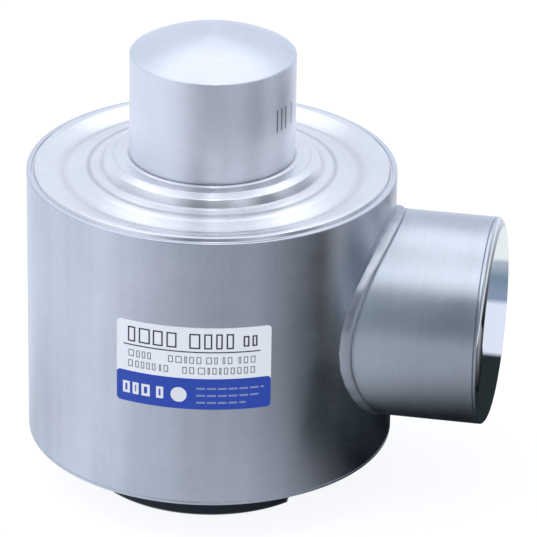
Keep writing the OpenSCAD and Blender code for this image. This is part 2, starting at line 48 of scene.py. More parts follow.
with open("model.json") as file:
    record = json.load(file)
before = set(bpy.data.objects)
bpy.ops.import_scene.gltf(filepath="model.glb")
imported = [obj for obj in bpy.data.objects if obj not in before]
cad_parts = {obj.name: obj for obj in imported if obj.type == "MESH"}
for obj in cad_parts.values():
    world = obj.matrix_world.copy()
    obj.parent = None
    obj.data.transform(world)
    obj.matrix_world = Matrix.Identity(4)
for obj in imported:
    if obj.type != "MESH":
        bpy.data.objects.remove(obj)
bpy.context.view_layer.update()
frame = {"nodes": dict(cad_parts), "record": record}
MM = 0.001
BOX = {name: tuple(np.array(corner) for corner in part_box(name)) for name in frame["nodes"]}
MOUNT = {mount["name"]: mount["dims"] for mount in frame["record"]["mounts"]}
X, Y, Z = range(3)


def span(node, axis):
    """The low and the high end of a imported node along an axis."""
    return BOX[node][0][axis], BOX[node][1][axis]


def half(node, axis):
    """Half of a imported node's size along an axis."""
    low, high = span(node, axis)
    return (high - low) / 2


def centre(node, axis):
    """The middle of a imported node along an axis."""
    low, high = span(node, axis)
    return (low + high) / 2


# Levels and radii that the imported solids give, in metres
HOUSING_R = BOX["housing_shell"][1][X]
BOTTOM_Z = BOX["bottom_plate"][0][Z]
BOTTOM_TOP_Z = BOX["bottom_plate"][1][Z]
SHELL_Z = BOX["housing_shell"][0][Z]
DECK_Z = BOX["housing_shell"][1][Z]
TOP_Z = BOX["spring_element"][1][Z]
FOOT_R = BOX["spring_element"][1][Y]
FOOT_FLAT = BOX["spring_element"][1][X]
PLATE_R = BOX["top_diaphragm"][1][X]
GAUGE_SIDE = BOX["strain_gauge_1"][0][X]
CHAMBER_R = BOX["chamber_tube"][1][Y]
CHAMBER_Z = centre("chamber_tube", Z)
CHAMBER_END = BOX["chamber_tube"][1][X]
CAP_IN = BOX["end_cap"][0][X]
CAP_TOP = BOX["end_cap"][1][X]
FEED_R = BOX["feedthrough_shell"][1][Y]
GLAND_X = centre("gland_nut", X)
BUTTON_R = MOUNT["load_button"]["r_mm"] * MM
CABLE_R = MOUNT["cable_entry"]["r_mm"] * MM

# The camera as it was fitted to the photograph: lengths in metres, angles in degrees
FRAME_PX = 537
FOCAL_PX = 4239
SENSOR = 36.0
CAMERA_TURN = 10.561
CAMERA_ROLL = 0.915
CAMERA_AIM_RIGHT = 15.943 * MM
CAMERA_AIM_BELOW_DECK = 31.661 * MM

# Gap between pieces that seat in each other, and the step that keeps two points of an outline apart
GAP = 0.05 * MM
SLIVER = 0.01 * MM

# Hidden inner forms of the column, the plates and the cable gland
HOUSING_BORE = HOUSING_R - 4 * MM
BASE_R = 26 * MM
BASE_Z = BOTTOM_TOP_Z + 2 * MM
GAUGE_R = 13.5 * MM
GAUGE_LENGTH = 34 * MM
PLATE_SEAT = 3.6 * MM
CHAMBER_BORE = CHAMBER_R - 3.5 * MM
GLAND_THREAD_R = 6 * MM
GLAND_HEX_HEIGHT = 4 * MM
NUT_CROWN = 3 * MM
HEX_BEVEL_IN = 0.8 * MM
HEX_BEVEL_UP = 0.5 * MM
GLAND_FLAT = half("gland_nut", Z)
BOSS_R = half("gland_boss", X)
SEAL_R = half("gland_seal", X)
WASHER_R = half("gland_washer", X)
CABLE_CLEAR = 0.4 * MM

# Chamfers of the two pieces that meet at the seam under the housing, inwards and upright
SEAM_IN = 0.1 * MM
SEAM_UP = 0.15 * MM

# Sides of the round pieces round their turn, and the angle past which an edge is hard
SIDES = {"housing": 288, "column": 240, "chamber": 240, "gland": 96, "hexagon": 120, "drill": 48,
         "plug": 32}
SMOOTH_ANGLE = math.radians(28)

# Points along some of the curves in an outline
WAVE_POINTS = 14
CREST_POINTS = 10
DOME_POINTS = 28


def length(name, description, mm):
    """A size that a user can change, shown as a length."""
    return FloatProperty(name=name, description=description, default=mm * MM, unit="LENGTH", precision=5)


def colour(name, description, rgb):
    """A colour that a user can change."""
    return FloatVectorProperty(name=name, description=description, default=rgb, subtype="COLOR",
                               size=3, min=0.0, max=1.0)


def share(name, description, value):
    """A number from 0 to 1 that a user can change."""
    return FloatProperty(name=name, description=description, default=value, subtype="FACTOR",
                         min=0.0, max=1.0)


class LoadCellSizes(PropertyGroup):
    """Sizes of the fine forms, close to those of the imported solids. Heights and depths are measured
    from the deck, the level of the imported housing's upper edge"""
    button_height: length("Button height", "Height of the button's edge above the deck", 33.1)
    button_edge: length("Button edge", "Chamfer between the button's side and its dome", 0.3)
    neck_step: length("Neck step", "Step from the button in to the neck", 0.6)
    crease_height: length("Crease height", "Height of the groove between lip and button", 0.3)
    foot_edge: length("Foot edge", "Chamfer round the foot's face", 0.8)
    rim_width: length("Rim width", "Width of the housing's rim round the diaphragm", 1.4)
    housing_edge: length("Housing edge", "Radius on the housing's upper edge", 0.35)
    lip_height: length("Lip height", "Height of the lip that the button is welded to", 3.6)
    lip_width: length("Lip width", "Width of the lip outside the button", 4.1)
    lip_fall: length("Lip fall", "Fall of the lip from the button outwards", 0.4)
    bevel_width: length("Bevel width", "Width of the bevel outside the lip", 2.1)
    shoulder_height: length("Shoulder height", "Height of the shoulder under the bevel", 2.3)
    wall_width: length("Wall width", "Width of the steep wall under the shoulder", 1.05)
    cove_height: length("Cove height", "Height at which the wall runs out into the cove", 0.2)
    cove_width: length("Cove width", "Width of the cove", 3.4)
    cove_fall: length("Cove fall", "Fall across the cove's rounded crest", 0.5)
    crest_width: length("Crest width", "Width of the rounded crest outside the cove", 3.0)
    crest_fall: length("Crest fall", "Fall across that crest", 0.6)
    channel_depth: length("Channel depth", "Depth of the outer channel under the deck", 2.15)
    channel_inset: length("Channel inset", "Distance of the channel's bottom from the plate's edge", 8.5)
    land_width: length("Land width", "Width of the land outside the channel", 2.9)
    land_height: length("Land height", "Height of that land above the deck", -0.05)
    edge_width: length("Edge width", "How far in from its outer edge the plate rounds off", 2.3)
    edge_drop: length("Edge drop", "Drop from the plate's top into the groove beside the tube", 0.85)
    edge_fall: length("Edge fall", "Fall of the plate's top towards that drop", 0.2)
    groove_width: length("Groove width", "Width of the groove between the plate and the housing tube", 0.8)
    rim_drop: length("Rim drop", "Drop of the housing tube's rim below the deck", 0.8)
    plate_thickness: length("Plate thickness", "Thickness of the corrugated plate", 1.0)
    plate_rim: length("Plate rim", "Depth of the rim's seat in the tube under the deck", 1.8)
    weld_on_tube: length("Weld on tube", "Leg of the weld bead along the chamber", 2.4)
    weld_on_housing: length("Weld on housing", "Leg of the weld bead along the housing", 1.6)
    cap_land: length("Cap land", "Straight edge of the end cap", 0.6)
    cap_round: length("Cap round", "Width of the end cap's rounded edge", 4.3)
    cap_crown: length("Cap crown", "Rise of the polished face", 0.15)
    cap_groove: length("Cap groove", "Depth of the groove between tube and cap", 0.3)


class LoadCellFinish(PropertyGroup):
    """Colours and surface of each finish"""
    housing_steel: colour("Housing steel", "Satin steel of the housing", (0.59, 0.62, 0.68))
    chamber_steel: colour("Chamber steel", "Satin steel of the connection chamber", (0.60, 0.645, 0.695))
    turned_steel: colour("Turned steel", "Steel of the button, the rim and the plug", (0.80, 0.82, 0.88))
    plate_steel: colour("Plate steel", "Turned steel of the diaphragm", (0.95, 0.945, 0.97))
    bead_steel: colour("Bead steel", "Bright steel of the weld bead", (0.56, 0.58, 0.63))
    polished_steel: colour("Polished steel", "Mirror face of the end cap", (0.80, 0.82, 0.84))
    # painted shade: the foot's steel gets a near-black colour for the shade it lies in under the housing
    foot_shade_steel: colour("Foot shade steel", "Foot steel painted near black for its shade", (0.030, 0.036, 0.045))
    nickel: colour("Nickel", "Plated brass of the gland", (0.66, 0.64, 0.58))
    film_white: colour("Film white", "White field of the label", (0.86, 0.90, 1.0))
    film_blue: colour("Film blue", "Blue band of the label", (0.006, 0.054, 0.46))
    ink: colour("Ink", "Dark print of the label", (0.035, 0.035, 0.045))
    satin_roughness: share("Satin roughness", "Roughness of the housing's satin steel", 0.26)
    chamber_roughness: share("Chamber roughness", "Roughness of the chamber's satin steel", 0.33)
    turned_roughness: share("Turned roughness", "Roughness of the turned button", 0.40)
    plate_roughness: share("Plate roughness", "Roughness of the diaphragm", 0.27)
    plate_grain: share("Plate grain", "How far the turned plate draws reflections out across its marks",
                       0.8)


class LoadCellStage(PropertyGroup):
    """Camera and light of the studio"""
    distance: length("Camera distance", "From the camera to the point it looks at", 1178.4)
    elevation: FloatProperty(name="Elevation", description="Height of the camera's view above the horizon",
                             default=math.radians(25.29), subtype="ANGLE")
    key_power: FloatProperty(name="Key light", description="Power of the large soft light overhead",
                             default=4.2, min=0.0, unit="POWER")
    sky_strength: FloatProperty(name="Sky", description="Even light from all sides on film and floor",
                                default=0.74, min=0.0)
    floor_tone: FloatProperty(name="Floor tone", description="Brightness of the floor in the steel",
                              default=1.04, min=0.0)
    wall_tone: FloatProperty(name="Wall tone", description="Brightness of the walls in the steel",
                             default=0.85, min=0.0)
    roof_tone: FloatProperty(name="Roof tone", description="Brightness of the roof in the steel",
                             default=1.35, min=0.0)
    light_tint: colour("Light tint", "Colour of the light that the steel mirrors", (0.85, 0.90, 1.0))
    shade_glow: FloatProperty(name="Shade glow", description="Light left in the darkest shades",
                              default=0.05, min=0.0)


def soften(outline, radius, steps=5):
    """Rounds each inner corner P of an open outline: a quadratic curve
    (1-t)^2 A + 2t(1-t) P + t^2 B between the points A and B that lie radius from P on its two sides,
    or 45% of a side if that is shorter."""
    points = np.asarray(outline, float)
    before, corner, after = points[:-2], points[1:-1], points[2:]

    def towards(target):
        run = target - corner
        size = np.maximum(np.linalg.norm(run, axis=1, keepdims=True), 1e-12)
        return corner + run * np.minimum(radius / size, 0.45)

    t = np.linspace(0, 1, steps)[:, None, None]
    curve = (1 - t) ** 2 * towards(before) + 2 * t * (1 - t) * corner + t ** 2 * towards(after)
    return np.concatenate([points[:1], curve.transpose(1, 0, 2).reshape(-1, 2), points[-1:]])


def soften_loop(outline, radius):
    """The same for a closed outline: each corner has the last and the first point as neighbours."""
    points = np.asarray(outline, float)
    return soften(np.concatenate([points[-1:], points, points[:1]]), radius)[1:-1]


def wave(start, end):
    """A step between two (radius, height) points that is level at both ends: half a cosine wave."""
    t = np.linspace(0, 1, WAVE_POINTS)
    return np.stack([start[0] + (end[0] - start[0]) * t,
                     start[1] + (end[1] - start[1]) * (1 - np.cos(np.pi * t)) / 2], 1)


def crest(start, end):
    """A shoulder between two (radius, height) points, level at its start and twice as steep as their
    chord at its end: height = start - fall t^2, with t = 0..1 along the radius."""
    t = np.linspace(0, 1, CREST_POINTS)
    return np.stack([start[0] + (end[0] - start[0]) * t, start[1] + (end[1] - start[1]) * t ** 2], 1)


def quarter(start, end, centre, steps=14):
    """A quarter of an ellipse about centre: centre + (start - centre) cos a + (end - centre) sin a."""
    start, end, centre = (np.asarray(p, float) for p in (start, end, centre))
    a = np.linspace(0, np.pi / 2, steps)[:, None]
    return centre + (start - centre) * np.cos(a) + (end - centre) * np.sin(a)


def dome(radius, foot, top):
    """A cap of a sphere from its foot's radius to the axis: height = top - R + sqrt(R^2 - r^2),
    where R = (radius^2 + rise^2) / (2 rise)."""
    rise = top - foot
    sphere = (radius ** 2 + rise ** 2) / (2 * rise)
    r = radius * np.cos(np.linspace(0, np.pi / 2, DOME_POINTS))
    r[-1] = 0
    return np.stack([r, top - sphere + np.sqrt(sphere ** 2 - r ** 2)], 1)


def angles(count, corners=()):
    """Angles of a full turn, with those of the corners that need an edge of their own."""
    return np.unique(np.concatenate([np.arange(count) * 2 * np.pi / count,
                                     np.mod(np.array(corners, float), 2 * np.pi)]).round(9))


def turned(outline, turns, flats=()):
    """A bar turned to an outline of (radius, height) and milled: (r cos a, r sin a, height), where
    each flat, (direction, distance, low, high), limits r to distance / cos(a - direction)."""
    outline = np.asarray(outline, float)
    a = turns[:, None]
    r = np.broadcast_to(outline[:, 0], (len(turns), len(outline))).copy()
    z = np.broadcast_to(outline[:, 1], r.shape)
    for direction, distance, low, high in flats:
        facing = np.maximum(np.cos(a - direction), 1e-3)
        r = np.where((z >= low) & (z <= high), np.minimum(r, distance / facing), r)
    return np.stack([r * np.cos(a), r * np.sin(a), z], -1)


def saddle_tube(outer, inner, end, base, turns, groove=None):
    """A tube along +Z whose root is cut to fit a round base that lies across it along X, of radius
    base: the wall starts at height sqrt(base^2 - (r sin a)^2). A groove, (offset, width, depth),
    is cut at the height sqrt(offset^2 - (r sin a)^2)."""
    edge = 0.15 * MM  # chamfer on the outer corner of the free end

    def line(r, reach):
        return np.sqrt(reach ** 2 - (r * np.sin(turns)) ** 2)

    rings = [(outer, line(outer, base))]
    if groove:
        offset, width, depth = groove
        mouth = line(outer, offset)
        rings += [(outer, mouth - width / 3), (outer - depth, mouth - width / 4),
                  (outer - depth, mouth + width / 2), (outer, mouth + width)]
    flat = np.ones_like(turns)
    rings += [(outer, flat * (end - edge)), (outer - edge, flat * end),
              (inner, flat * end), (inner, line(inner, base))]
    r = np.array([ring[0] for ring in rings])[None, :]
    height = np.stack([ring[1] for ring in rings], 1)
    a = turns[:, None]
    return np.stack([r * np.cos(a), r * np.sin(a), height], -1)


def on_chamber(points, x=0.0):
    """Turns +Z into +X, on the chamber's axis: (x, y, z) becomes (z, y, -x)."""
    return np.stack([points[..., 2] + x, points[..., 1], CHAMBER_Z - points[..., 0]], -1)


def on_gland(points):
    """Turns +Z into +Y, on the gland's axis: (x, y, z) becomes (x, z, -y)."""
    return np.stack([points[..., 0] + GLAND_X, points[..., 2], CHAMBER_Z - points[..., 1]], -1)


# Length of the steps in which a film follows the housing, and the radius up to which a corner of it
# has few points
FILM_STEP = 1.8 * MM
SMALL_CORNER = 0.3 * MM


def film_grid(width, height, middle, turn, low, high, corner):
    """A thin film on an upright cylinder, with round corners. Row by row its half width is
    w/2 - c + sqrt(c^2 - d^2), where d is how far the row lies past the corner's centre. Each row
    runs along the outer radius and back along the inner one, and the first and the last close it."""
    half = height / 2
    steps = 2 + int(width / FILM_STEP)
    bend = np.sin(np.linspace(0, np.pi / 2, 7 if corner > SMALL_CORNER else 3))
    rows = np.concatenate([-half + corner * (1 - bend[::-1]), half - corner * (1 - bend)])
    past = np.maximum(np.abs(rows) - (half - corner), 0)
    reach = width / 2 - corner + np.sqrt(np.maximum(corner ** 2 - past ** 2, 0))
    rows = np.concatenate([rows[:1], rows, rows[-1:]])
    reach = np.concatenate([reach[:1], reach, reach[-1:]])
    across = np.linspace(-1, 1, steps)
    s = np.concatenate([across, across[::-1]])
    r = np.concatenate([np.full(steps, high), np.full(steps, low)])[None, :].repeat(len(rows), 0)
    r[[0, -1]] = low
    a = turn + reach[:, None] * s[None, :] / high
    z = np.broadcast_to(middle + rows[:, None], a.shape)
    return np.stack([r * np.cos(a), r * np.sin(a), z], -1)


def grid_arrays(grid, around, along):
    """Points and quads of a grid of points, joined end to end around and along where asked."""
    rows, columns = grid.shape[:2]
    index = np.arange(rows * columns).reshape(rows, columns)
    if around:
        index = np.concatenate([index, index[:1]])
    if along:
        index = np.concatenate([index, index[:, :1]], 1)
    quads = np.stack([index[:-1, :-1], index[1:, :-1], index[1:, 1:], index[:-1, 1:]], -1)
    return grid.reshape(-1, 3), quads.reshape(-1, 4)


def grid_mesh(name, points, faces):
    """A mesh of points and faces, given as arrays."""
    mesh = bpy.data.meshes.new(name)
    mesh.from_pydata(points.tolist(), [], faces.tolist())
    return mesh


def close_mesh(mesh):
    """Merges the seams and poles of a mesh and turns its faces outwards."""
    work = bmesh.new()
    work.from_mesh(mesh)
    bmesh.ops.remove_doubles(work, verts=work.verts, dist=1e-7)
    bmesh.ops.dissolve_degenerate(work, edges=work.edges, dist=1e-8)
    bmesh.ops.recalc_face_normals(work, faces=work.faces)
    work.to_mesh(mesh)
    work.free()


def linked(name, data):
    """A new object with some data, linked to the scene."""
    thing = bpy.data.objects.new(name, data)
    bpy.context.scene.collection.objects.link(thing)
    return thing


def make_piece(name, grids, node, around=True, along=True):
    """A closed piece from one or more grids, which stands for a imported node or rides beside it."""
    points, quads, start = [], [], 0
    for grid in grids:
        p, q = grid_arrays(grid, around, along)
        points.append(p)
        quads.append(q + start)
        start += len(p)
    mesh = grid_mesh(name, np.concatenate(points), np.concatenate(quads))
    close_mesh(mesh)
    piece = linked(name, mesh)
    smooth(mesh)
    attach(piece, "root")
    if node:
        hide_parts(node)
    return piece


def smooth(mesh):
    """Smooth faces with a hard edge where two of them meet at more than SMOOTH_ANGLE."""
    mesh.polygons.foreach_set("use_smooth", np.ones(len(mesh.polygons), bool))
    mesh.set_sharp_from_angle(angle=SMOOTH_ANGLE)


def dress(piece, *materials):
    """Gives a piece its materials, in the order of their slots."""
    for material in materials:
        piece.data.materials.append(material)


def split(piece, axis, level):
    """Gives the faces whose middle lies above a level along an axis the piece's second material."""
    middles = np.empty(len(piece.data.polygons) * 3)
    piece.data.polygons.foreach_get("center", middles)
    above = middles.reshape(-1, 3)[:, axis] > level
    piece.data.polygons.foreach_set("material_index", above.astype(np.int32))


def drill(piece, grid):
    """Cuts the closed form of a grid out of a piece."""
    mesh = grid_mesh("drill", *grid_arrays(grid, True, False))
    close_mesh(mesh)
    tool = linked("drill", mesh)
    cut = piece.modifiers.new("Drill", "BOOLEAN")
    cut.solver = "EXACT"
    cut.operation = "DIFFERENCE"
    cut.object = tool
    graph = bpy.context.evaluated_depsgraph_get()
    result = bpy.data.meshes.new_from_object(piece.evaluated_get(graph))
    piece.modifiers.clear()
    piece.data = result
    smooth(result)
    bpy.data.objects.remove(tool)


def section(inner, outer, low, high):
    """The corners of a ring's section, as (radius, height)."""
    return [(inner, low), (outer, low), (outer, high), (inner, high)]


def rod(radius, low, high, turns):
    """A plain closed rod from its axis at low to its axis at high."""
    return turned(section(0, radius, low, high), turns)


class NodeTree:
    """Short calls to build a material's or a group's nodes."""

    def __init__(self, tree):
        self.tree = tree
        tree.nodes.clear()

    def add(self, kind, inputs=None, **settings):
        """A node with its settings, and with each input set to a value or linked to a socket."""
        made = self.tree.nodes.new(kind)
        for key, value in settings.items():
            setattr(made, key, value)
        for key, value in (inputs or {}).items():
            if isinstance(value, bpy.types.NodeSocket):
                self.tree.links.new(value, made.inputs[key])
            else:
                made.inputs[key].default_value = value
        return made

    def math(self, operation, a, b=0.0, c=0.0, clamp=False):
        """The result of one Math node."""
        made = self.add("ShaderNodeMath", {0: a, 1: b, 2: c}, operation=operation, use_clamp=clamp)
        return made.outputs[0]

    def mix(self, factor, a, b):
        """A colour between a and b."""
        made = self.add("ShaderNodeMix", {"Factor": factor, "A": a, "B": b}, data_type="RGBA")
        return made.outputs["Result"]

    def noise(self, place, scale, detail=2.0, **more):
        """The value of a noise at a place, about 0.5."""
        made = self.add("ShaderNodeTexNoise", {"Vector": place, "Scale": scale, "Detail": detail, **more})
        return made.outputs["Fac"]

    def vary(self, mask, amount, base):
        """The base, moved by the amount times how far a mask lies from 0.5."""
        return self.math("MULTIPLY_ADD", self.math("SUBTRACT", mask, 0.5), amount, base)

    def split_place(self, place):
        """The X, Y and Z of a place, and its distance from the Z axis."""
        parts = self.add("ShaderNodeSeparateXYZ", {"Vector": place}).outputs
        across = self.math("SQRT", self.math("ADD", self.math("MULTIPLY", parts["X"], parts["X"]),
                                             self.math("MULTIPLY", parts["Y"], parts["Y"])))
        return parts, across

    def seen(self):
        """1 for what the camera, metal and glass see, and 0 for the light that a surface gives."""
        path = self.add("ShaderNodeLightPath").outputs
        direct = self.math("ADD", path["Is Camera Ray"], path["Is Glossy Ray"])
        return self.math("ADD", direct, path["Is Transmission Ray"], clamp=True)


def new_material(name):
    """A material and its node tree, still empty."""
    material = bpy.data.materials.new(name)
    material.use_nodes = True
    return material, NodeTree(material.node_tree)


def group_tree(name, inputs, outputs):
    """An empty shader node group with named sockets, its input node and its output node."""
    group = bpy.data.node_groups.new(name, "ShaderNodeTree")
    for label, (kind, value) in inputs.items():
        socket = group.interface.new_socket(name=label, in_out="INPUT", socket_type=kind)
        if value is not None:
            socket.default_value = value
    for label, kind in outputs.items():
        group.interface.new_socket(name=label, in_out="OUTPUT", socket_type=kind)
    nodes = NodeTree(group)
    return group, nodes, nodes.add("NodeGroupInput").outputs, nodes.add("NodeGroupOutput").inputs


def turning_marks():
    """Fine rings that a tool leaves on turned steel: noise that changes only with the distance
    from the axis and with the height along it, broken up a little round the turn."""
    if "Turning marks" in bpy.data.node_groups:
        return bpy.data.node_groups["Turning marks"]
    group, n, given, out = group_tree(
        "Turning marks",
        {"Place": ("NodeSocketVector", None), "Pitch": ("NodeSocketFloat", 2500.0)},
        {"Height": "NodeSocketFloat", "Shade": "NodeSocketFloat"})
    drift = 0.0006  # metres that the pattern shifts for each radian round the turn
    coarser = 0.12  # scale of the broad rings beside that of the fine ones
    parts, across = n.split_place(given["Place"])
    bend = n.math("MULTIPLY", n.math("ARCTAN2", parts["Y"], parts["X"]), drift)
    place = n.add("ShaderNodeCombineXYZ", {"X": across, "Y": parts["Z"], "Z": bend}).outputs[0]
    fine = n.noise(place, given["Pitch"])
    broad = n.noise(place, n.math("MULTIPLY", given["Pitch"], coarser), 3.0)
    n.tree.links.new(fine, out["Height"])
    shade = n.math("ADD", n.math("MULTIPLY", fine, 0.4), n.math("MULTIPLY", broad, 0.6))
    n.tree.links.new(shade, out["Shade"])
    return group


def cloudy_tone():
    """Soft clouds and a much finer grain on a satin surface, as masks about 0.5."""
    if "Cloudy tone" in bpy.data.node_groups:
        return bpy.data.node_groups["Cloudy tone"]
    group, n, given, out = group_tree(
        "Cloudy tone",
        {"Place": ("NodeSocketVector", None), "Size": ("NodeSocketFloat", 40.0)},
        {"Cloud": "NodeSocketFloat", "Grain": "NodeSocketFloat"})
    finer = 22.0  # scale of the grain beside that of the clouds
    n.tree.links.new(n.noise(given["Place"], given["Size"], 4.0, Roughness=0.6), out["Cloud"])
    grain = n.noise(given["Place"], n.math("MULTIPLY", given["Size"], finer))
    n.tree.links.new(grain, out["Grain"])
    return group


def painted_crease_shade(rings):
    """Painted shade in the creases round an axis, darker where forms meet: 0 on open steel, and at
    each ring, given as (radius, half width, depth), up to its depth, with depth (1 - |r - radius| / half
    width)."""
    group, n, given, out = group_tree("Painted crease shade", {"Place": ("NodeSocketVector", None)},
                                      {"Painted shade": "NodeSocketFloat"})
    across = n.split_place(given["Place"])[1]
    total = 0.0
    for radius, half_width, depth in rings:
        off = n.math("ABSOLUTE", n.math("SUBTRACT", across, radius))
        near = n.math("SUBTRACT", 1.0, n.math("DIVIDE", off, half_width), clamp=True)
        total = n.math("MULTIPLY_ADD", near, depth, total)
    n.tree.links.new(total, out["Painted shade"])
    return group


def etched_ticks(bars):
    """Plain dark marks on a turned side: MARK_DEPTH where the angle about Z, in radians, and the
    height lie in one of the bars, (middle, half width, low, high)."""
    group, n, given, out = group_tree("Etched ticks", {"Place": ("NodeSocketVector", None)},
                                      {"Mark": "NodeSocketFloat"})
    parts = n.add("ShaderNodeSeparateXYZ", {"Vector": given["Place"]}).outputs
    angle = n.math("ARCTAN2", parts["Y"], parts["X"])
    total = 0.0
    for middle, half_width, low, high in bars:
        off = n.math("ABSOLUTE", n.math("SUBTRACT", angle, middle))
        inside = n.math("MULTIPLY", n.math("GREATER_THAN", parts["Z"], low),
                        n.math("LESS_THAN", parts["Z"], high))
        total = n.math("MULTIPLY_ADD", n.math("LESS_THAN", off, half_width), inside, total)
    n.tree.links.new(n.math("MULTIPLY", total, MARK_DEPTH), out["Mark"])
    return group


# Full height of the fine relief in the materials, and how far the noise, which keeps within about an
# eighth of 0.5, is stretched to fill a tone's range
BUMP_HEIGHT = 0.05 * MM
NOISE_SPREAD = 4


def steel(name, rgb, roughness, marks=0.3, clouds=0.06, grain=0.02, pitch=2500.0, anisotropic=0.0,
          axis="Z", bump=0.02, waves=0.0, streaks=0.0, hue=0.0, dark=None):
    """Steel whose colour and roughness vary with turning marks about an axis and with clouds, its
    colour also with streaks along the axis, grain and hue, and its relief with marks and broad waves.
    The mask of a dark group takes its share of the colour away: painted shade in the plate's creases,
    etched marks on the button."""
    material, n = new_material(name)
    place = n.add("ShaderNodeTexCoord").outputs["Object"]
    if axis == "X":
        # the chamber's axis becomes the pattern's upright one
        place = n.add("ShaderNodeMapping", {
            "Vector": place, "Location": (CHAMBER_Z, 0.0, 0.0),
            "Rotation": (0.0, -math.pi / 2, 0.0)}).outputs[0]
    rings = n.add("ShaderNodeGroup", {"Place": place, "Pitch": pitch}, node_tree=turning_marks()).outputs
    tone = n.add("ShaderNodeGroup", {"Place": place}, node_tree=cloudy_tone()).outputs
    shade = n.vary(rings["Shade"], marks, 1.0)
    shade = n.vary(tone["Cloud"], clouds * NOISE_SPREAD, shade)
    shade = n.vary(tone["Grain"], grain * NOISE_SPREAD, shade)
    if streaks:
        # noise that changes fast across the axis and slowly along it
        stretched = n.add("ShaderNodeMapping", {"Vector": place, "Scale": (130.0, 130.0, 9.0)}).outputs[0]
        shade = n.vary(n.noise(stretched, 1.0, 3.0), streaks * NOISE_SPREAD, shade)
    # a dark group paints shade into the plate's creases, and etched marks onto the button
    if dark:
        mask = n.add("ShaderNodeGroup", {"Place": place}, node_tree=dark)
        shade = n.math("MULTIPLY", shade, n.math("SUBTRACT", 1.0, mask.outputs[0]))
    tint = (*rgb,)
    if hue:
        # broad patches, a little cooler and a little warmer
        red, green, blue = rgb
        cool = (red * (1 - hue), green * (1 + 0.3 * hue), blue, 1)
        warm = (red * (1 + hue), green * (1 - 0.3 * hue), blue, 1)
        tint = n.mix(n.noise(place, 28.0), cool, warm)
    tint = n.add("ShaderNodeVectorMath", {0: tint, "Scale": shade}, operation="SCALE")
    rough = n.vary(tone["Cloud"], 0.25, roughness)
    rough = n.vary(rings["Shade"], marks * 0.3, rough)
    relief = n.math("MULTIPLY_ADD", rings["Height"], bump, n.math("MULTIPLY", tone["Cloud"], waves))
    height = n.add("ShaderNodeBump", {"Height": relief, "Strength": 1.0, "Distance": BUMP_HEIGHT})
    shader = n.add("ShaderNodeBsdfPrincipled", {
        "Base Color": tint.outputs[0], "Metallic": 1.0, "Roughness": rough,
        "Normal": height.outputs[0], "Anisotropic": anisotropic, "Anisotropic Rotation": 0.25})
    if anisotropic:
        tangent = n.add("ShaderNodeTangent", direction_type="RADIAL", axis=axis)
        n.tree.links.new(tangent.outputs[0], shader.inputs["Tangent"])
    n.add("ShaderNodeOutputMaterial", {"Surface": shader.outputs[0]})
    return material


def coated(name, rgb, roughness, grain=0.03, metallic=0.0, size=120.0, bump=0.05):
    """Plastic, rubber, film or plating: one colour with soft clouds in its tone and a fine grain in
    its gloss and relief."""
    material, n = new_material(name)
    place = n.add("ShaderNodeTexCoord").outputs["Object"]
    tone = n.add("ShaderNodeGroup", {"Place": place, "Size": size}, node_tree=cloudy_tone()).outputs
    shade = n.vary(tone["Cloud"], grain * NOISE_SPREAD, 1.0)
    tint = n.add("ShaderNodeVectorMath", {0: (*rgb,), "Scale": shade}, operation="SCALE")
    rough = n.vary(tone["Grain"], 0.1, roughness)
    height = n.add("ShaderNodeBump", {"Height": tone["Grain"], "Strength": bump, "Distance": BUMP_HEIGHT})
    shader = n.add("ShaderNodeBsdfPrincipled", {
        "Base Color": tint.outputs[0], "Metallic": metallic, "Roughness": rough,
        "Normal": height.outputs[0]})
    n.add("ShaderNodeOutputMaterial", {"Surface": shader.outputs[0]})
    return material


# Plain etched marks on the button's side: the angle of each one's middle and half its width, in
# degrees, their low and high level above the deck in millimetres, and how dark they are
TICKS = (-28.5, -23.5, -18.5, -9.5)
TICK_HALF = 0.7
TICK_LEVELS = (15.8, 22.2)
MARK_DEPTH = 0.75


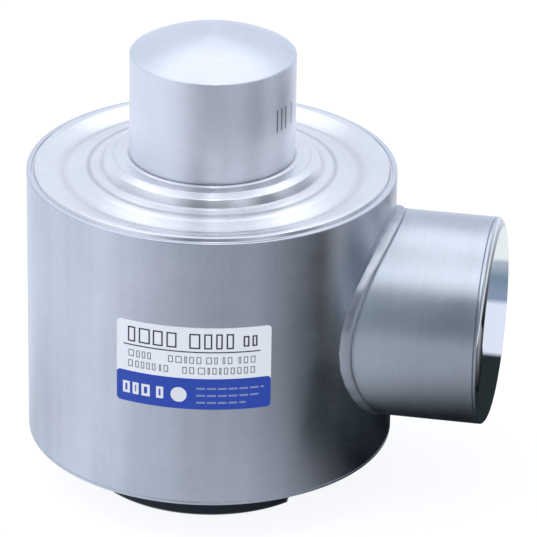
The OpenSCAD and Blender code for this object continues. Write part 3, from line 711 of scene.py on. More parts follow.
class LOADCELL_OT_column(Operator):
    """Column turned from one bar: foot with two flats, gauge section, neck and domed button"""
    bl_idname = "loadcell.column"
    bl_label = "Load column"

    def execute(self, context):
        s, f = context.scene.load_cell_sizes, context.scene.load_cell_finish
        middle = (BOTTOM_Z + DECK_Z) / 2
        low, high = middle - GAUGE_LENGTH / 2, middle + GAUGE_LENGTH / 2
        neck_r = BUTTON_R - s.neck_step
        crease_r = BUTTON_R - 0.35 * MM
        seat = DECK_Z + s.lip_height
        rim = DECK_Z + s.button_height
        foot = soften([(0, 0), (FOOT_R - s.foot_edge, 0), (FOOT_R, s.foot_edge), (FOOT_R, BOTTOM_Z),
                       (BASE_R, BOTTOM_Z), (BASE_R, BASE_Z)], 0.12 * MM)
        lower = quarter((BASE_R, BASE_Z), (GAUGE_R, low - SLIVER), (BASE_R, low - SLIVER))
        upper = quarter((GAUGE_R, high + SLIVER), (neck_r, (high + DECK_Z) / 2), (neck_r, high + SLIVER))
        button = soften([(neck_r, seat - SLIVER), (neck_r, seat), (crease_r, seat),
                         (crease_r, seat + 0.7 * s.crease_height), (BUTTON_R, seat + s.crease_height),
                         (BUTTON_R, rim - s.button_edge), (BUTTON_R - s.button_edge, rim),
                         (BUTTON_R - s.button_edge - SLIVER, rim)], 0.15 * MM)
        outline = np.concatenate([foot, lower, [(GAUGE_R, low), (GAUGE_R, high)], upper, button,
                                  dome(BUTTON_R - s.button_edge - 2 * SLIVER, rim, TOP_Z)])
        foot_corner = math.acos(FOOT_FLAT / FOOT_R)
        side_corner = math.acos(GAUGE_SIDE / GAUGE_R)
        faces = [i * math.pi / 2 for i in range(4)]
        corners = [face + side * side_corner for face in faces for side in (-1, 1)]
        corners += [face + side * foot_corner for face in faces[::2] for side in (-1, 1)]
        flats = [(face, GAUGE_SIDE, low, high) for face in faces]
        flats += [(face, FOOT_FLAT, -MM, BOTTOM_Z) for face in faces[::2]]
        piece = make_piece("load_column", [turned(outline, angles(SIDES["column"], corners), flats)],
                           "spring_element", along=False)
        low, high = (DECK_Z + level * MM for level in TICK_LEVELS)
        ticks = [(math.radians(a), math.radians(TICK_HALF), low, high) for a in TICKS]
        # the foot below the bottom plate takes the steel painted near black as shade, the rest the turned
        # steel
        dress(piece, steel("foot steel painted dark as shade", f.foot_shade_steel, 0.42, marks=0.08),
              steel("turned steel", f.turned_steel, f.turned_roughness, marks=0.10,
                    anisotropic=0.55, bump=0.05, dark=etched_ticks(ticks)))
        split(piece, Z, BOTTOM_Z + SLIVER)
        return {"FINISHED"}


class LOADCELL_OT_diaphragm(Operator):
    """Corrugated plate round the button: lip, bevel, steep wall, cove, rounded crest, channel, land
    and the groove beside the housing tube"""
    bl_idname = "loadcell.diaphragm"
    bl_label = "Diaphragm"

    def execute(self, context):
        s, f = context.scene.load_cell_sizes, context.scene.load_cell_finish
        # radii and heights from the button outwards; stretches of the outline start a little apart
        fall_out = BUTTON_R + 1.2 * MM
        lip = BUTTON_R + s.lip_width
        lip_edge = s.lip_height - s.lip_fall
        bevel = lip + 0.2 * MM
        shoulder = bevel + s.bevel_width
        chamfer = 0.15 * MM
        cove_in = shoulder + chamfer + s.wall_width
        cove_out = cove_in + s.cove_width
        foot = s.cove_height - s.cove_fall
        crest_out = cove_out + s.crest_width
        channel = PLATE_R - s.channel_inset
        land = PLATE_R - s.land_width
        edge_in = PLATE_R - s.edge_width
        edge_out = PLATE_R - s.groove_width
        edge_top = s.land_height - s.edge_fall
        top = np.concatenate([
            [(BUTTON_R - s.neck_step + GAP, s.lip_height)],
            wave((BUTTON_R, s.lip_height), (fall_out, lip_edge)),
            soften([(fall_out + 0.2 * MM, lip_edge), (lip, lip_edge), (bevel, lip_edge - 0.12 * MM),
                    (shoulder, s.shoulder_height), (shoulder + chamfer, s.shoulder_height - chamfer),
                    (cove_in, s.cove_height)], 0.12 * MM),
            crest((cove_in + 0.1 * MM, s.cove_height), (cove_out, foot)),
            crest((cove_out + 0.25 * MM, foot - 0.02 * MM), (crest_out, foot - s.crest_fall)),
            soften([(crest_out + 0.05 * MM, foot - s.crest_fall - SLIVER), (channel, -s.channel_depth),
                    (land, s.land_height), (edge_in - 0.05 * MM, s.land_height)], 0.6 * MM, 9),
            crest((edge_in, s.land_height), (edge_out, edge_top)),
            [(edge_out + 0.5 * s.edge_drop, edge_top - s.edge_drop),
             (PLATE_R, edge_top - s.edge_drop)]])
        rim_in = PLATE_R - PLATE_SEAT
        under = top[top[:, 0] < rim_in - 0.1 * MM][::-1] - (0, s.plate_thickness)
        outline = np.concatenate([top, [(PLATE_R, -s.plate_rim), (rim_in, -s.plate_rim),
                                        (rim_in, under[0, 1])], under])
        piece = make_piece("corrugated_plate", [turned(outline + (0, DECK_Z), angles(SIDES["housing"]))],
                           "top_diaphragm")
        # painted shade: darker rings where the forms meet, as radius, half width and depth
        crease_shade = painted_crease_shade([(BUTTON_R + 0.1 * MM, 0.6 * MM, 0.35), (bevel, 0.5 * MM, 0.10),
                        (cove_in, 1.0 * MM, 0.16), (cove_out + 0.2 * MM, 1.0 * MM, 0.3),
                        (channel, 2.0 * MM, 0.14), (edge_out + 0.4 * MM, 0.5 * MM, 0.12)])
        dress(piece, steel("plate steel", f.plate_steel, f.plate_roughness, marks=0.12,
                           anisotropic=f.plate_grain, pitch=1800.0, bump=0.04, dark=crease_shade))
        return {"FINISHED"}


class LOADCELL_OT_housing(Operator):
    """Round housing tube, the bottom plate's edge under it and the plug in the plate"""
    bl_idname = "loadcell.housing"
    bl_label = "Housing"

    def execute(self, context):
        s, f = context.scene.load_cell_sizes, context.scene.load_cell_finish
        rim_in = HOUSING_R - s.rim_width
        satin = steel("satin steel", f.housing_steel, f.satin_roughness, marks=0.06, clouds=0.07,
                      grain=0.02, streaks=0.08, hue=0.05, waves=0.5)
        seat = DECK_Z - s.plate_rim
        rim_z = DECK_Z - s.rim_drop
        edge = s.housing_edge
        turns = angles(SIDES["housing"])
        drill_turns = angles(SIDES["drill"])
        wall = np.concatenate([
            [(HOUSING_BORE, seat), (HOUSING_BORE, SHELL_Z)],
            soften([(HOUSING_BORE + GAP, SHELL_Z), (HOUSING_R - SEAM_IN, SHELL_Z),
                    (HOUSING_R, SHELL_Z + SEAM_UP), (HOUSING_R, SHELL_Z + MM)], 0.08 * MM),
            quarter((HOUSING_R, rim_z - edge), (HOUSING_R - edge, rim_z),
                    (HOUSING_R - edge, rim_z - edge), 9),
            soften([(HOUSING_R - edge - SLIVER, rim_z), (rim_in, rim_z), (rim_in, rim_z - 0.5 * MM)],
                   0.1 * MM), [(rim_in, seat)]])
        piece = make_piece("housing_tube", [turned(wall, turns)], "housing_shell")
        drill(piece, on_chamber(rod(FEED_R + GAP, 0.8 * HOUSING_BORE, 1.2 * HOUSING_R, drill_turns)))
        dress(piece, satin, steel("turned rim steel", f.turned_steel, 0.2, marks=0.1))
        split(piece, Z, rim_z - 0.05 * MM)

        lower = BOTTOM_Z + 0.5 * (SHELL_Z - BOTTOM_Z)
        lower_in = HOUSING_R - 0.5 * MM
        plate = np.concatenate([
            [(BASE_R + GAP, BOTTOM_Z)],
            quarter((lower_in, BOTTOM_Z), (HOUSING_R, lower), (lower_in, lower), 8),
            soften([(HOUSING_R, lower + GAP), (HOUSING_R, SHELL_Z - SEAM_UP),
                    (HOUSING_R - SEAM_IN, SHELL_Z), (HOUSING_BORE - GAP, SHELL_Z)], 0.08 * MM),
            [(HOUSING_BORE - GAP, BOTTOM_TOP_Z), (BASE_R + GAP, BOTTOM_TOP_Z)]])
        bottom = make_piece("bottom_disc", [turned(plate, turns)], "bottom_plate")
        plug_low, plug_high = span("fill_plug", Z)
        plug_r = half("fill_plug", X)
        place = np.array([centre("fill_plug", X), centre("fill_plug", Y), 0])
        plug_turns = angles(SIDES["plug"])
        drill(bottom, rod(plug_r + GAP, plug_low - MM, plug_high + MM, plug_turns) + place)
        dress(bottom, satin)
        outline = soften(section(0, plug_r, plug_low, plug_high), 0.3 * MM)
        plug = make_piece("filling_plug", [turned(outline, plug_turns) + place], "fill_plug",
                          along=False)
        dress(plug, steel("plug steel", f.turned_steel, 0.4, marks=0.2))
        return {"FINISHED"}


class LOADCELL_OT_chamber(Operator):
    """Connection chamber: tube cut to the housing, weld bead round its root and polished end cap"""
    bl_idname = "loadcell.chamber"
    bl_label = "Connection chamber"

    def execute(self, context):
        s, f = context.scene.load_cell_sizes, context.scene.load_cell_finish
        turns = angles(SIDES["chamber"])
        # groove beside the bead: its place along the tube, its width and its depth
        undercut = (HOUSING_R + s.weld_on_tube, 0.35 * MM, 0.25 * MM)
        tube = saddle_tube(CHAMBER_R, CHAMBER_BORE, CHAMBER_END, HOUSING_R + GAP, turns, undercut)
        piece = make_piece("chamber_shell", [on_chamber(tube)], "chamber_tube")
        drill_turns = angles(SIDES["drill"])
        drill(piece, on_gland(rod(GLAND_THREAD_R + GAP, 0.8 * CHAMBER_BORE, 1.2 * CHAMBER_R, drill_turns)))
        satin = steel("satin chamber steel", f.chamber_steel, f.chamber_roughness, marks=0.22, clouds=0.09,
                      grain=0.025, pitch=1300.0, axis="X", hue=0.05, waves=0.4)
        dress(piece, satin)
        bead = make_piece("root_bead", [self.bead(s, turns)], "chamber_weld")
        dress(bead, steel("bead steel", f.bead_steel, 0.40, marks=0.0, clouds=0.12, grain=0.03, bump=0.0))

        spigot = CAP_IN - CHAMBER_END
        crown = CAP_TOP - CHAMBER_END
        face = crown - s.cap_crown
        face_r = CHAMBER_R - s.cap_round
        outline = np.concatenate([
            soften([(0, spigot), (CHAMBER_BORE - GAP, spigot), (CHAMBER_BORE - GAP, 0),
                    (CHAMBER_R - s.cap_groove, 0), (CHAMBER_R, s.cap_groove)], 0.08 * MM),
            quarter((CHAMBER_R, s.cap_land), (face_r, face), (face_r, s.cap_land), 20),
            dome(face_r - 2 * SLIVER, face, crown)])
        cap = make_piece("polished_cap", [on_chamber(turned(outline, turns), CHAMBER_END)], "end_cap",
                         along=False)
        dress(cap, satin, steel("polished steel", f.polished_steel, 0.05, marks=0.02, clouds=0.01,
                                grain=0.0, axis="X", bump=0.0, waves=0.5))
        # the rounded edge is polished almost down to its straight land
        split(cap, X, CHAMBER_END + s.cap_land + 0.3 * MM)
        return {"FINISHED"}

    def bead(self, s, turns):
        """Rounded bead in the corner between two crossing cylinders. At turn a and section angle b it
        lies at the distance chamber radius + leg cos b from the chamber's axis and at housing radius
        + leg sin b from the housing's, so x = sqrt(that^2 - y^2). The powers of the cosine and the sine
        round it out. On the housing its leg is widest half way up each side, where cos^2(turn from the
        top - 60 degrees) is 1, and a ripple of 9 and 31 waves round the turn makes it uneven."""
        b = np.linspace(0, np.pi / 2, 14)[None, :]
        a = turns[:, None]
        upwards = -np.cos(a)
        from_top = np.abs(np.mod(a, 2 * np.pi) - np.pi)
        broad = np.maximum(np.cos(from_top - np.pi / 3), 0) ** 2
        ripple = 0.03 * np.sin(9 * a + 1.3) + 0.03 * np.sin(31 * a)
        on_housing = s.weld_on_housing * (0.20 + 0.42 * broad + ripple)
        on_tube = s.weld_on_tube * (0.97 + 0.04 * upwards)
        r = CHAMBER_R - GAP + on_housing * np.cos(b) ** 0.7
        reach = HOUSING_R - GAP + on_tube * np.sin(b) ** 0.9
        r = np.concatenate([r, np.full_like(a, CHAMBER_R - GAP)], 1)
        reach = np.concatenate([reach, np.full_like(a, HOUSING_R - GAP)], 1)
        y = r * np.sin(a)
        return np.stack([np.sqrt(reach ** 2 - y ** 2), y, CHAMBER_Z - r * np.cos(a)], -1)


class LOADCELL_OT_gland(Operator):
    """Cable gland behind the chamber: welded boss, washer, hexagonal body, seal and cap nut"""
    bl_idname = "loadcell.gland"
    bl_label = "Cable gland"

    def execute(self, context):
        f = context.scene.load_cell_finish
        nickel = coated("nickel plate", f.nickel, 0.22, metallic=1.0, grain=0.04)
        rubber = coated("black rubber", (0.012, 0.012, 0.013), 0.6, grain=0.10, size=300.0, bump=0.3)
        round_turns = angles(SIDES["gland"])
        hexagon = [i * math.pi / 3 for i in range(6)]
        hex_turns = angles(SIDES["hexagon"], [face + math.pi / 6 for face in hexagon])
        corner_r = GLAND_FLAT / math.cos(math.pi / 6)
        corner_in = corner_r - HEX_BEVEL_IN
        thread_gap = GLAND_THREAD_R + GAP
        through = CABLE_R + CABLE_CLEAR

        boss_end = span("gland_boss", Y)[1]
        boss = saddle_tube(BOSS_R, thread_gap, boss_end, CHAMBER_R + GAP, round_turns + np.pi / 2)
        parts = [("boss", boss[:, :, [1, 0, 2]], "gland_boss", "housing_steel",
                  steel("boss steel", f.housing_steel, 0.38, marks=0.1))]
        washer_low, hex_low = span("gland_washer", Y)
        ring = soften_loop(section(thread_gap, WASHER_R, washer_low, hex_low), 0.25 * MM)
        parts.append(("sealing_washer", turned(ring, round_turns), "gland_washer", "black_rubber", rubber))

        hex_high = hex_low + GLAND_HEX_HEIGHT
        body_low, body_high = span("gland_body", Y)
        seal_low, seal_high = span("gland_seal", Y)
        thread_end = 0.5 * MM
        body = soften_loop([
            (through, body_low), (GLAND_THREAD_R - thread_end, body_low),
            (GLAND_THREAD_R, body_low + thread_end), (GLAND_THREAD_R, hex_low), (corner_in, hex_low),
            (corner_r, hex_low + HEX_BEVEL_UP), (corner_r, hex_high - HEX_BEVEL_UP),
            (corner_in, hex_high), (GLAND_THREAD_R, hex_high), (GLAND_THREAD_R, body_high),
            (SEAL_R + GAP, body_high), (SEAL_R + GAP, seal_low), (through, seal_low)], 0.15 * MM)
        body_flats = [(face, GLAND_FLAT, hex_low, hex_high) for face in hexagon]
        parts.append(("threaded_body", turned(body, hex_turns, body_flats), "gland_body", "nickel", nickel))

        seal = soften_loop(section(CABLE_R, SEAL_R, seal_low, seal_high), 0.2 * MM)
        parts.append(("cable_seal", turned(seal, round_turns), "gland_seal", "black_rubber", rubber))

        nut_low, nut_high = span("gland_nut", Y)
        shoulder = nut_high - NUT_CROWN
        crown_in = GLAND_FLAT - NUT_CROWN
        crown = quarter((GLAND_FLAT - SLIVER, shoulder), (crown_in, nut_high), (crown_in, shoulder), 12)
        outline = np.concatenate([
            soften([(thread_gap, nut_low + MM), (thread_gap, nut_low), (corner_in, nut_low),
                    (corner_r, nut_low + HEX_BEVEL_UP), (corner_r, shoulder - 0.6 * MM),
                    (GLAND_FLAT, shoulder)], 0.15 * MM), crown,
            soften([(crown_in - 0.1 * MM, nut_high), (through, nut_high), (through, seal_high),
                    (thread_gap, seal_high)], 0.3 * MM)])
        nut_flats = [(face, GLAND_FLAT, nut_low, shoulder) for face in hexagon]
        parts.append(("cap_nut", turned(outline, hex_turns, nut_flats), "gland_nut", "nickel", nickel))
        for name, grid, node, slot, material in parts:
            dress(make_piece(name, [on_gland(grid)], node), material)
        return {"FINISHED"}


# The label's film: thickness and width in metres, the direction of its middle in degrees and the
# radius of its corners in millimetres
LABEL_FILM = 0.15 * MM
LABEL_WIDTH = 42.9 * MM
LABEL_TURN = -84
LABEL_CORNER = 1.2
# Print of the label, in millimetres from its lower left: the band's top, the corners' radius of the
# band, the frames and the other print, the rule, and lines of plain frames in place of the signs, each
# line with its low and high edge, its stroke and the left and right edges of its frames
BAND_TOP = 9.2
BAND_CORNER = 1.15
FRAME_CORNER = 0.05
PRINT_CORNER = 0.1
RULE = (2.1, 39.8, 16.95, 17.3, PRINT_CORNER)
TITLE = (18.1, 22.6, 0.42, [(3.4, 5.6), (6.6, 9.8), (10.6, 13.4), (14.4, 17.2), (20.6, 23.6),
                            (24.6, 26.8), (27.8, 29.6), (30.6, 32.6)])
TITLE_MARK = (18.6, 21.8, 0.42, [(35.2, 36.8), (37.6, 39.0)])
FIRST_LINE = (13.7, 15.7, 0.22, [(3.6, 5.2), (5.9, 6.9), (7.5, 8.5), (9.1, 10.1), (14.9, 16.2),
                                 (16.9, 18.6), (19.3, 20.0), (20.7, 21.9), (22.6, 23.9), (25.2, 26.7),
                                 (27.4, 28.3), (29.6, 30.3), (31.0, 32.2), (33.9, 34.6), (35.3, 36.5),
                                 (37.2, 38.5)])
SECOND_LINE = (10.6, 12.6, 0.22, [(3.5, 4.9), (5.6, 6.6), (7.2, 8.2), (8.8, 9.8), (10.4, 11.4),
                                  (12.4, 13.0), (13.7, 14.9), (18.8, 20.0), (20.7, 22.0), (23.0, 24.9),
                                  (25.6, 26.2), (26.9, 28.0), (28.7, 29.3), (30.0, 31.1), (31.8, 32.9),
                                  (33.6, 34.7), (35.4, 36.5), (37.2, 38.4)])
BAND_WORD = (2.5, 6.0, 0.75, [(1.9, 4.0), (4.8, 6.6), (7.4, 9.8), (11.6, 13.6)])
# The band's plain disc: left, right, low and high edge and radius
BAND_DISC = (15.6, 20.0, 2.0, 6.4, 2.15)
# Lines of dashes on the band, each with its low edge, start and end, and a dash's length, the least
# length of the last one, the step from one to the next and the height
SMALL_LINES = [(6.0, 22.6, 41.0), (3.9, 22.6, 40.2), (1.8, 22.6, 36.0)]
DASH = 2.4
DASH_LEAST = 0.5
DASH_STEP = 2.9
DASH_HEIGHT = 0.55


class LOADCELL_OT_label(Operator):
    """Film label with a blue band, a rule, and frames and dashes in place of its print"""
    bl_idname = "loadcell.label"
    bl_label = "Label"

    def execute(self, context):
        f = context.scene.load_cell_finish
        low, high = span("label", Z)
        self.outer = HOUSING_R + LABEL_FILM
        self.middle = (low + high) / 2
        self.height = high - low
        self.turn = math.radians(LABEL_TURN)
        film = self.field(0, LABEL_WIDTH / MM, 0, self.height / MM, LABEL_CORNER, HOUSING_R, self.outer)
        white = make_piece("label_film", [film], "label", around=False)
        dress(white, coated("label film", f.film_white, 0.38, grain=0.01, bump=0.01))
        dashes = [(a, min(a + DASH, end), z, z + DASH_HEIGHT, PRINT_CORNER) for z, start, end in SMALL_LINES
                  for a in np.arange(start, end - DASH_LEAST, DASH_STEP)]
        # fields of each ink, how far they rise over the film in millimetres, and the colour
        inks = {
            "label_band": ([(0, LABEL_WIDTH / MM, 0, BAND_TOP, BAND_CORNER)], 0.012, f.film_blue),
            "label_print_dark": ([RULE] + self.frames(*TITLE) + self.frames(*TITLE_MARK), 0.016, f.ink),
            "label_print_grey": (self.frames(*FIRST_LINE) + self.frames(*SECOND_LINE), 0.016,
                                 (0.13, 0.13, 0.15)),
            "label_print_pale": (self.frames(*BAND_WORD) + [BAND_DISC], 0.02, (0.80, 0.84, 0.92)),
            "label_print_faint": (dashes, 0.02, (0.22, 0.30, 0.56)),
        }
        for name, (fields, rise, rgb) in inks.items():
            grids = [self.field(*field, self.outer - GAP, self.outer + rise * MM) for field in fields]
            piece = make_piece(name, grids, None, around=False)
            dress(piece, coated(name.replace("_", " "), rgb, 0.4, grain=0.01, bump=0.0))
        return {"FINISHED"}

    def frames(self, low, high, stroke, edges):
        """Four thin bars round each sign's place: foot, head and two sides that butt against them."""
        bars = []
        for left, right in edges:
            bars += [(left, right, low, low + stroke), (left, right, high - stroke, high),
                     (left, left + stroke, low + stroke, high - stroke),
                     (right - stroke, right, low + stroke, high - stroke)]
        return [(*bar, FRAME_CORNER) for bar in bars]

    def field(self, left, right, low, high, corner, inner, outer):
        """A film over a field of the label, given in millimetres from the label's lower left. Its
        corners take just under half of its width and height at most."""
        across = (left + right) / 2 * MM - LABEL_WIDTH / 2
        up = (low + high) / 2 * MM - self.height / 2
        size = min(corner, 0.49 * (right - left), 0.49 * (high - low)) * MM
        return film_grid((right - left) * MM, (high - low) * MM, self.middle + up,
                         self.turn + across / self.outer, inner, outer, size)


class LOADCELL_OT_inside(Operator):
    """Finishes of the hidden pieces: gauges, boards, leads, feedthrough and small hardware"""
    bl_idname = "loadcell.inside"
    bl_label = "Inner pieces"

    def execute(self, context):
        f = context.scene.load_cell_finish
        finishes = {
            coated("gauge film", (0.60, 0.30, 0.07), 0.35):
                [f"strain_gauge_{i}" for i in range(1, 5)],
            coated("green laminate", (0.03, 0.15, 0.06), 0.4): ["bridge_board", "circuit_board"],
            coated("tinned copper", (0.70, 0.45, 0.30), 0.3, metallic=1.0):
                ["gauge_leads", "feedthrough_pins", "solder_posts"],
            coated("red insulation", (0.40, 0.05, 0.03), 0.45): ["bridge_leads", "trim_resistors"],
            coated("sealing glass", (0.08, 0.14, 0.20), 0.12): ["feedthrough_glass"],
            coated("inner nickel", f.nickel, 0.3, metallic=1.0):
                ["board_spacers", "board_standoffs", "board_screws", "feedthrough_shell"],
        }
        for material, names in finishes.items():
            for name in names:
                node = frame["nodes"][name]
                node.data.materials.clear()
                dress(node, material)
        return {"FINISHED"}


def glow(name, attribute):
    """A surface that shines with the colours of a vertex attribute."""
    material, n = new_material(name)
    tone = n.add("ShaderNodeAttribute", attribute_name=attribute)
    shine = n.add("ShaderNodeEmission", {"Color": tone.outputs["Color"]})
    n.add("ShaderNodeOutputMaterial", {"Surface": shine.outputs[0]})
    return material


# Floor: radius in metres and sides, the share of the light that it gives back, how much less of it
# shows where the floor is seen, and the strength of its own light there
FLOOR_R = 6.0
FLOOR_SIDES = 96
FLOOR_PALE = 0.90
FLOOR_HIDDEN = 0.74
FLOOR_SHINE = 0.92
# White of the floor and the surroundings
STUDIO_WHITE = (0.97, 0.98, 1.0, 1)

# Soft light overhead, in metres: its place, the point it faces and its width
OVERHEAD_PLACE = (-0.25, -0.10, 0.95)
OVERHEAD_AIM = (0.0, 0.0, 0.08)
OVERHEAD_WIDTH = 0.9

# Colour of the little light that stays in the darkest shades, and the share of it on the floor
SHADE_TINT = (0.05, 0.55, 1.0)
FLOOR_GLOW = 0.12
# Room that the steel mirrors: radius in metres, the step round it in degrees, its rings of points on
# the floor and up to the top, and the distance at which its floor counts as 45 degrees down
ROOM_R = 3.0
ROOM_STEP = 1.25
FLOOR_RINGS = 12
DOME_RINGS = 37
NEAR_FLOOR = 0.1
# Height in degrees at which its walls become roof, the height over which they blend, and the roof's own
# tint in place of the walls' one
ROOF_START = 45.0
ROOF_BLEND = 8.0
ROOF_TINT = (0.87, 0.895, 0.945)
# Heights over the floor of its floor, of its walls' foot, and of the flat pieces that lie on them
ROOM_FLOOR_Z = 0.2 * MM
ROOM_WALL_Z = 0.3 * MM
STRIP_Z = 0.4 * MM
# Shades in it, in degrees: middle, counted anticlockwise from the chamber, half width, lowest and
# highest elevation, and the share of the light that is gone at the middle, below 0 where light is
# added. A half width far over 180 shades the whole turn alike.
SHADES = {
    "floor under the chamber": (-4, 92, -90, -12, 1.0),
    "floor in front": (276, 62, -38, -1, 0.46),
    "floor in front of the foot": (276, 62, -90, -38, 0.33),
    "floor left of the foot": (182, 40, -90, -38, 0.2),
    "floor beside the chamber": (26, 46, -90, -18, 1.0),
    "wall behind the camera": (280, 50, 0, 44, 1.0),
    "wall left of the camera": (256, 34, 42, 54, 1.0),
    "roof left of the camera": (256, 34, 54, 66, 0.2),
    "wall right of the camera": (339, 31, 0, 45, 0.84),
    "wall left of the housing": (185, 35, 0, 45, 0.15),
    "wall beside the chamber": (26, 44, 0, 45, 0.5),
    "wall behind the chamber": (70, 30, 34, 50, -0.2),
    "roof in front": (282, 18, 46, 78, -1.35),
    "roof behind": (100, 60, 56, 74, -0.13),
    "top of the roof": (0, 1e6, 75, 90, 0.14),
}

# Floor beside the chamber as the polished end cap mirrors it, in millimetres: x from low to high, and
# along y the ends of the strips with the tone of each
STRIP_X = (83, 125)
STRIPS = [(-60, 80, (0.02, 0.03, 0.032)), (83, 116, (0.78, 0.84, 0.98)), (120, 124, (0.26, 0.32, 0.46)),
          (133, 136, (0.20, 0.28, 0.38)), (145, 147, (0.42, 0.48, 0.58)), (150, 190, (0.86, 0.92, 0.93))]

# Floor before the end cap as the cap mirrors it in a view from its side, in millimetres: the tone
# along x, and the share of it along y
APRON_X = [(135, 0.02), (155, 0.08), (185, 0.20), (220, 0.34), (280, 0.45), (440, 0.50)]
APRON_Y = [(-60, 0.05), (-20, 1.0), (90, 1.0)]


class LOADCELL_OT_stage(Operator):
    """Camera at the photograph's angle, pale floor, white surroundings, the room that the steel
    mirrors and a soft light overhead"""
    bl_idname = "loadcell.stage"
    bl_label = "Stage"

    def execute(self, context):
        g = context.scene.load_cell_stage
        self.camera(context, g)
        self.floor()
        self.surroundings(context, g)
        self.mirrored_room(g)
        self.mirrored_strips()
        self.mirrored_apron()
        self.soft_light("overhead_light", OVERHEAD_PLACE, OVERHEAD_AIM, OVERHEAD_WIDTH, g.key_power)
        context.scene.view_settings.view_transform = "Standard"
        return {"FINISHED"}

    def camera(self, context, g):
        """The photograph's camera: aimed beside the housing's axis, below the deck, and rolled."""
        turn, roll = math.radians(CAMERA_TURN), math.radians(CAMERA_ROLL)
        right = Vector((math.cos(turn), math.sin(turn), 0))
        back = Vector((math.cos(g.elevation) * math.sin(turn), -math.cos(g.elevation) * math.cos(turn),
                       math.sin(g.elevation)))
        up = back.cross(right)
        rolled_right = right * math.cos(roll) + up * math.sin(roll)
        rolled_up = up * math.cos(roll) - right * math.sin(roll)
        aim = right * CAMERA_AIM_RIGHT + Vector((0, 0, DECK_Z - CAMERA_AIM_BELOW_DECK))
        data = bpy.data.cameras.new("camera")
        data.sensor_width = SENSOR
        data.lens = SENSOR * FOCAL_PX / FRAME_PX
        data.clip_start = 0.05
        data.clip_end = 50.0
        camera = linked("camera", data)
        axes = Matrix((rolled_right, rolled_up, back)).transposed().to_4x4()
        camera.matrix_world = Matrix.Translation(aim + back * g.distance) @ axes
        context.scene.camera = camera

    def floor(self):
        """A wide pale disc at the foot's level."""
        a = np.arange(FLOOR_SIDES) * 2 * np.pi / FLOOR_SIDES
        rim = np.stack([FLOOR_R * np.cos(a), FLOOR_R * np.sin(a), np.zeros_like(a)], 1)
        mesh = grid_mesh("floor", rim, np.arange(FLOOR_SIDES)[None, :])
        floor = linked("floor", mesh)
        material, n = new_material("pale floor")
        # the camera sees most of the floor's white as its own light, so that the shadow stays pale
        seen = n.seen()
        shader = n.add("ShaderNodeBsdfPrincipled", {
            "Base Color": n.math("MULTIPLY_ADD", seen, -FLOOR_HIDDEN, FLOOR_PALE),
            "Roughness": 0.9, "Specular IOR Level": 0.0, "Emission Color": STUDIO_WHITE,
            "Emission Strength": n.math("MULTIPLY", seen, FLOOR_SHINE)})
        n.add("ShaderNodeOutputMaterial", {"Surface": shader.outputs[0]})
        mesh.materials.append(material)

    def mirrored_room(self, g):
        """What the steel mirrors: a floor and a dome that only glossy rays see. The tone of a place is
        the floor's, the walls' or, above ROOF_START, the roof's, times 1 - depth * hump(angle from the
        shade's middle / half width) for each shade, where hump(t) = (1 + cos(pi t)) / 2 for |t| < 1.
        It shines in the light's tint or the roof's, and a little of SHADE_TINT is added."""
        azimuth = np.radians(np.arange(0, 360, ROOM_STEP))[:, None]
        under_foot = 0.8 * FOOT_R
        radius = np.geomspace(under_foot, ROOM_R, FLOOR_RINGS)
        rise = np.radians(np.linspace(0, 90, DOME_RINGS))
        reach = np.concatenate([radius, ROOM_R * np.cos(rise)])
        height = np.concatenate([np.full(FLOOR_RINGS, ROOM_FLOOR_Z), ROOM_WALL_Z + ROOM_R * np.sin(rise)])
        elevation = np.concatenate([-np.degrees(np.arctan2(NEAR_FLOOR, radius)), np.degrees(rise)])[None, :]
        grid = np.stack([reach * np.cos(azimuth), reach * np.sin(azimuth),
                         np.broadcast_to(height, (len(azimuth), len(height)))], -1)
        roof = np.clip((elevation - ROOF_START) / ROOF_BLEND + 0.5, 0, 1)
        tone = np.where(elevation < 0, g.floor_tone, g.wall_tone + (g.roof_tone - g.wall_tone) * roof)
        for middle, half_width, low, high, depth in SHADES.values():
            turn = np.mod(np.degrees(azimuth) - middle + 180, 360) - 180
            hump = np.where(np.abs(turn) < half_width, (1 + np.cos(np.pi * turn / half_width)) / 2, 0)
            tone = tone * (1 - depth * hump * ((elevation >= low) & (elevation <= high)))
        glow_here = g.shade_glow * np.where(elevation < 0, FLOOR_GLOW, 1.0)[..., None]
        roof = roof[..., None]
        tint = np.array(g.light_tint) * (1 - roof) + np.array(ROOF_TINT) * roof
        self.mirrored("mirrored_room", grid, tone[..., None] * tint + glow_here * np.array(SHADE_TINT),
                      around=True)

    def mirrored_strips(self):
        """Dark and pale strips on the floor, flat between two x values and lying along x."""
        grid = self.floor_grid(STRIP_X, [edge for strip in STRIPS for edge in strip[:2]])
        self.mirrored("mirrored_strips", grid, np.array([strip[2] for strip in STRIPS]).repeat(2, 0))

    def mirrored_apron(self):
        """Floor before the end cap, dark near the cap and pale away from it."""
        x, tone = np.array(APRON_X).T
        y, share_of_tone = np.array(APRON_Y).T
        colours = np.outer(tone, share_of_tone)[..., None] * np.array(ROOF_TINT)
        self.mirrored("mirrored_apron", self.floor_grid(x, y), colours)

    def floor_grid(self, x, y):
        """Points just over the mirrored room's floor, from lists of x and y in millimetres."""
        x, y = np.meshgrid(x, y, indexing="ij")
        return np.stack([x * MM, y * MM, np.full(x.shape, STRIP_Z)], -1)

    def mirrored(self, name, grid, colours, around=False):
        """A stage surface through a grid of points that shines with the colour of each point, and that
        only reflections show."""
        mesh = grid_mesh(name, *grid_arrays(grid, around, False))
        rgba = np.ones((grid.shape[0], grid.shape[1], 4), np.float32)
        rgba[..., :3] = colours
        mesh.color_attributes.new("tone", "FLOAT_COLOR", "POINT").data.foreach_set("color", rgba.ravel())
        thing = linked(name, mesh)
        mesh.materials.append(glow(name.replace("_", " "), "tone"))
        for ray in ("camera", "diffuse", "transmission", "volume_scatter", "shadow"):
            setattr(thing, f"visible_{ray}", False)

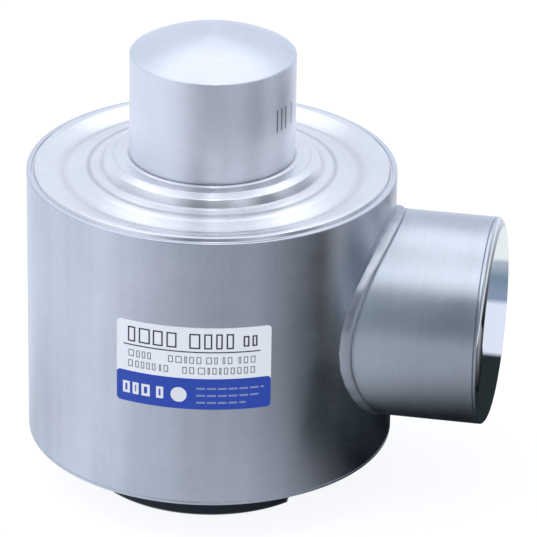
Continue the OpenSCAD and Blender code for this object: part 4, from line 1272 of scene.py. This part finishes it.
    def surroundings(self, context, g):
        """White for what the camera, metal and glass see, dimmer for the light it gives."""
        world = bpy.data.worlds.new("studio")
        world.use_nodes = True
        n = NodeTree(world.node_tree)
        strength = n.math("MULTIPLY_ADD", n.seen(), 1.0 - g.sky_strength, g.sky_strength)
        background = n.add("ShaderNodeBackground", {"Color": STUDIO_WHITE, "Strength": strength})
        n.add("ShaderNodeOutputWorld", {"Surface": background.outputs[0]})
        context.scene.world = world

    def soft_light(self, name, place, aim, size, power):
        """A round area light that neither the camera nor the steel sees."""
        data = bpy.data.lights.new(name, "AREA")
        data.shape = "DISK"
        data.size = size
        data.energy = power
        light = linked(name, data)
        light.location = place
        light.rotation_euler = (Vector(place) - Vector(aim)).to_track_quat("Z", "Y").to_euler()
        light.visible_camera = False
        light.visible_glossy = False


class LOADCELL_PT_sidebar(Panel):
    """Lists the steps that build the load cell"""
    bl_label = "Load cell"
    bl_space_type = "VIEW_3D"
    bl_region_type = "UI"
    bl_category = "Load cell"

    def draw(self, context):
        for operator in OPERATORS:
            self.layout.operator(operator.bl_idname)
        for group, kind in GROUPS.items():
            box = self.layout.box()
            for key in kind.__annotations__:
                box.prop(getattr(context.scene, group), key)


GROUPS = {"load_cell_sizes": LoadCellSizes, "load_cell_finish": LoadCellFinish,
          "load_cell_stage": LoadCellStage}
OPERATORS = (LOADCELL_OT_stage, LOADCELL_OT_column, LOADCELL_OT_diaphragm, LOADCELL_OT_housing,
             LOADCELL_OT_chamber, LOADCELL_OT_gland, LOADCELL_OT_label, LOADCELL_OT_inside)
CLASSES = (*GROUPS.values(), *OPERATORS, LOADCELL_PT_sidebar)


def register():
    for kind in CLASSES:
        bpy.utils.register_class(kind)
    for name, kind in GROUPS.items():
        setattr(bpy.types.Scene, name, PointerProperty(type=kind))


def unregister():
    for name in GROUPS:
        delattr(bpy.types.Scene, name)
    for kind in reversed(CLASSES):
        bpy.utils.unregister_class(kind)


def corners(box):
    """A box's two corners as plain lists of numbers."""
    return [[float(value) for value in corner] for corner in box]


def main():
    register()
    bpy.ops.loadcell.stage()
    bpy.ops.loadcell.column()
    bpy.ops.loadcell.diaphragm()
    bpy.ops.loadcell.housing()
    bpy.ops.loadcell.chamber()
    bpy.ops.loadcell.gland()
    bpy.ops.loadcell.label()
    bpy.ops.loadcell.inside()


if __name__ == "__main__":
    main()
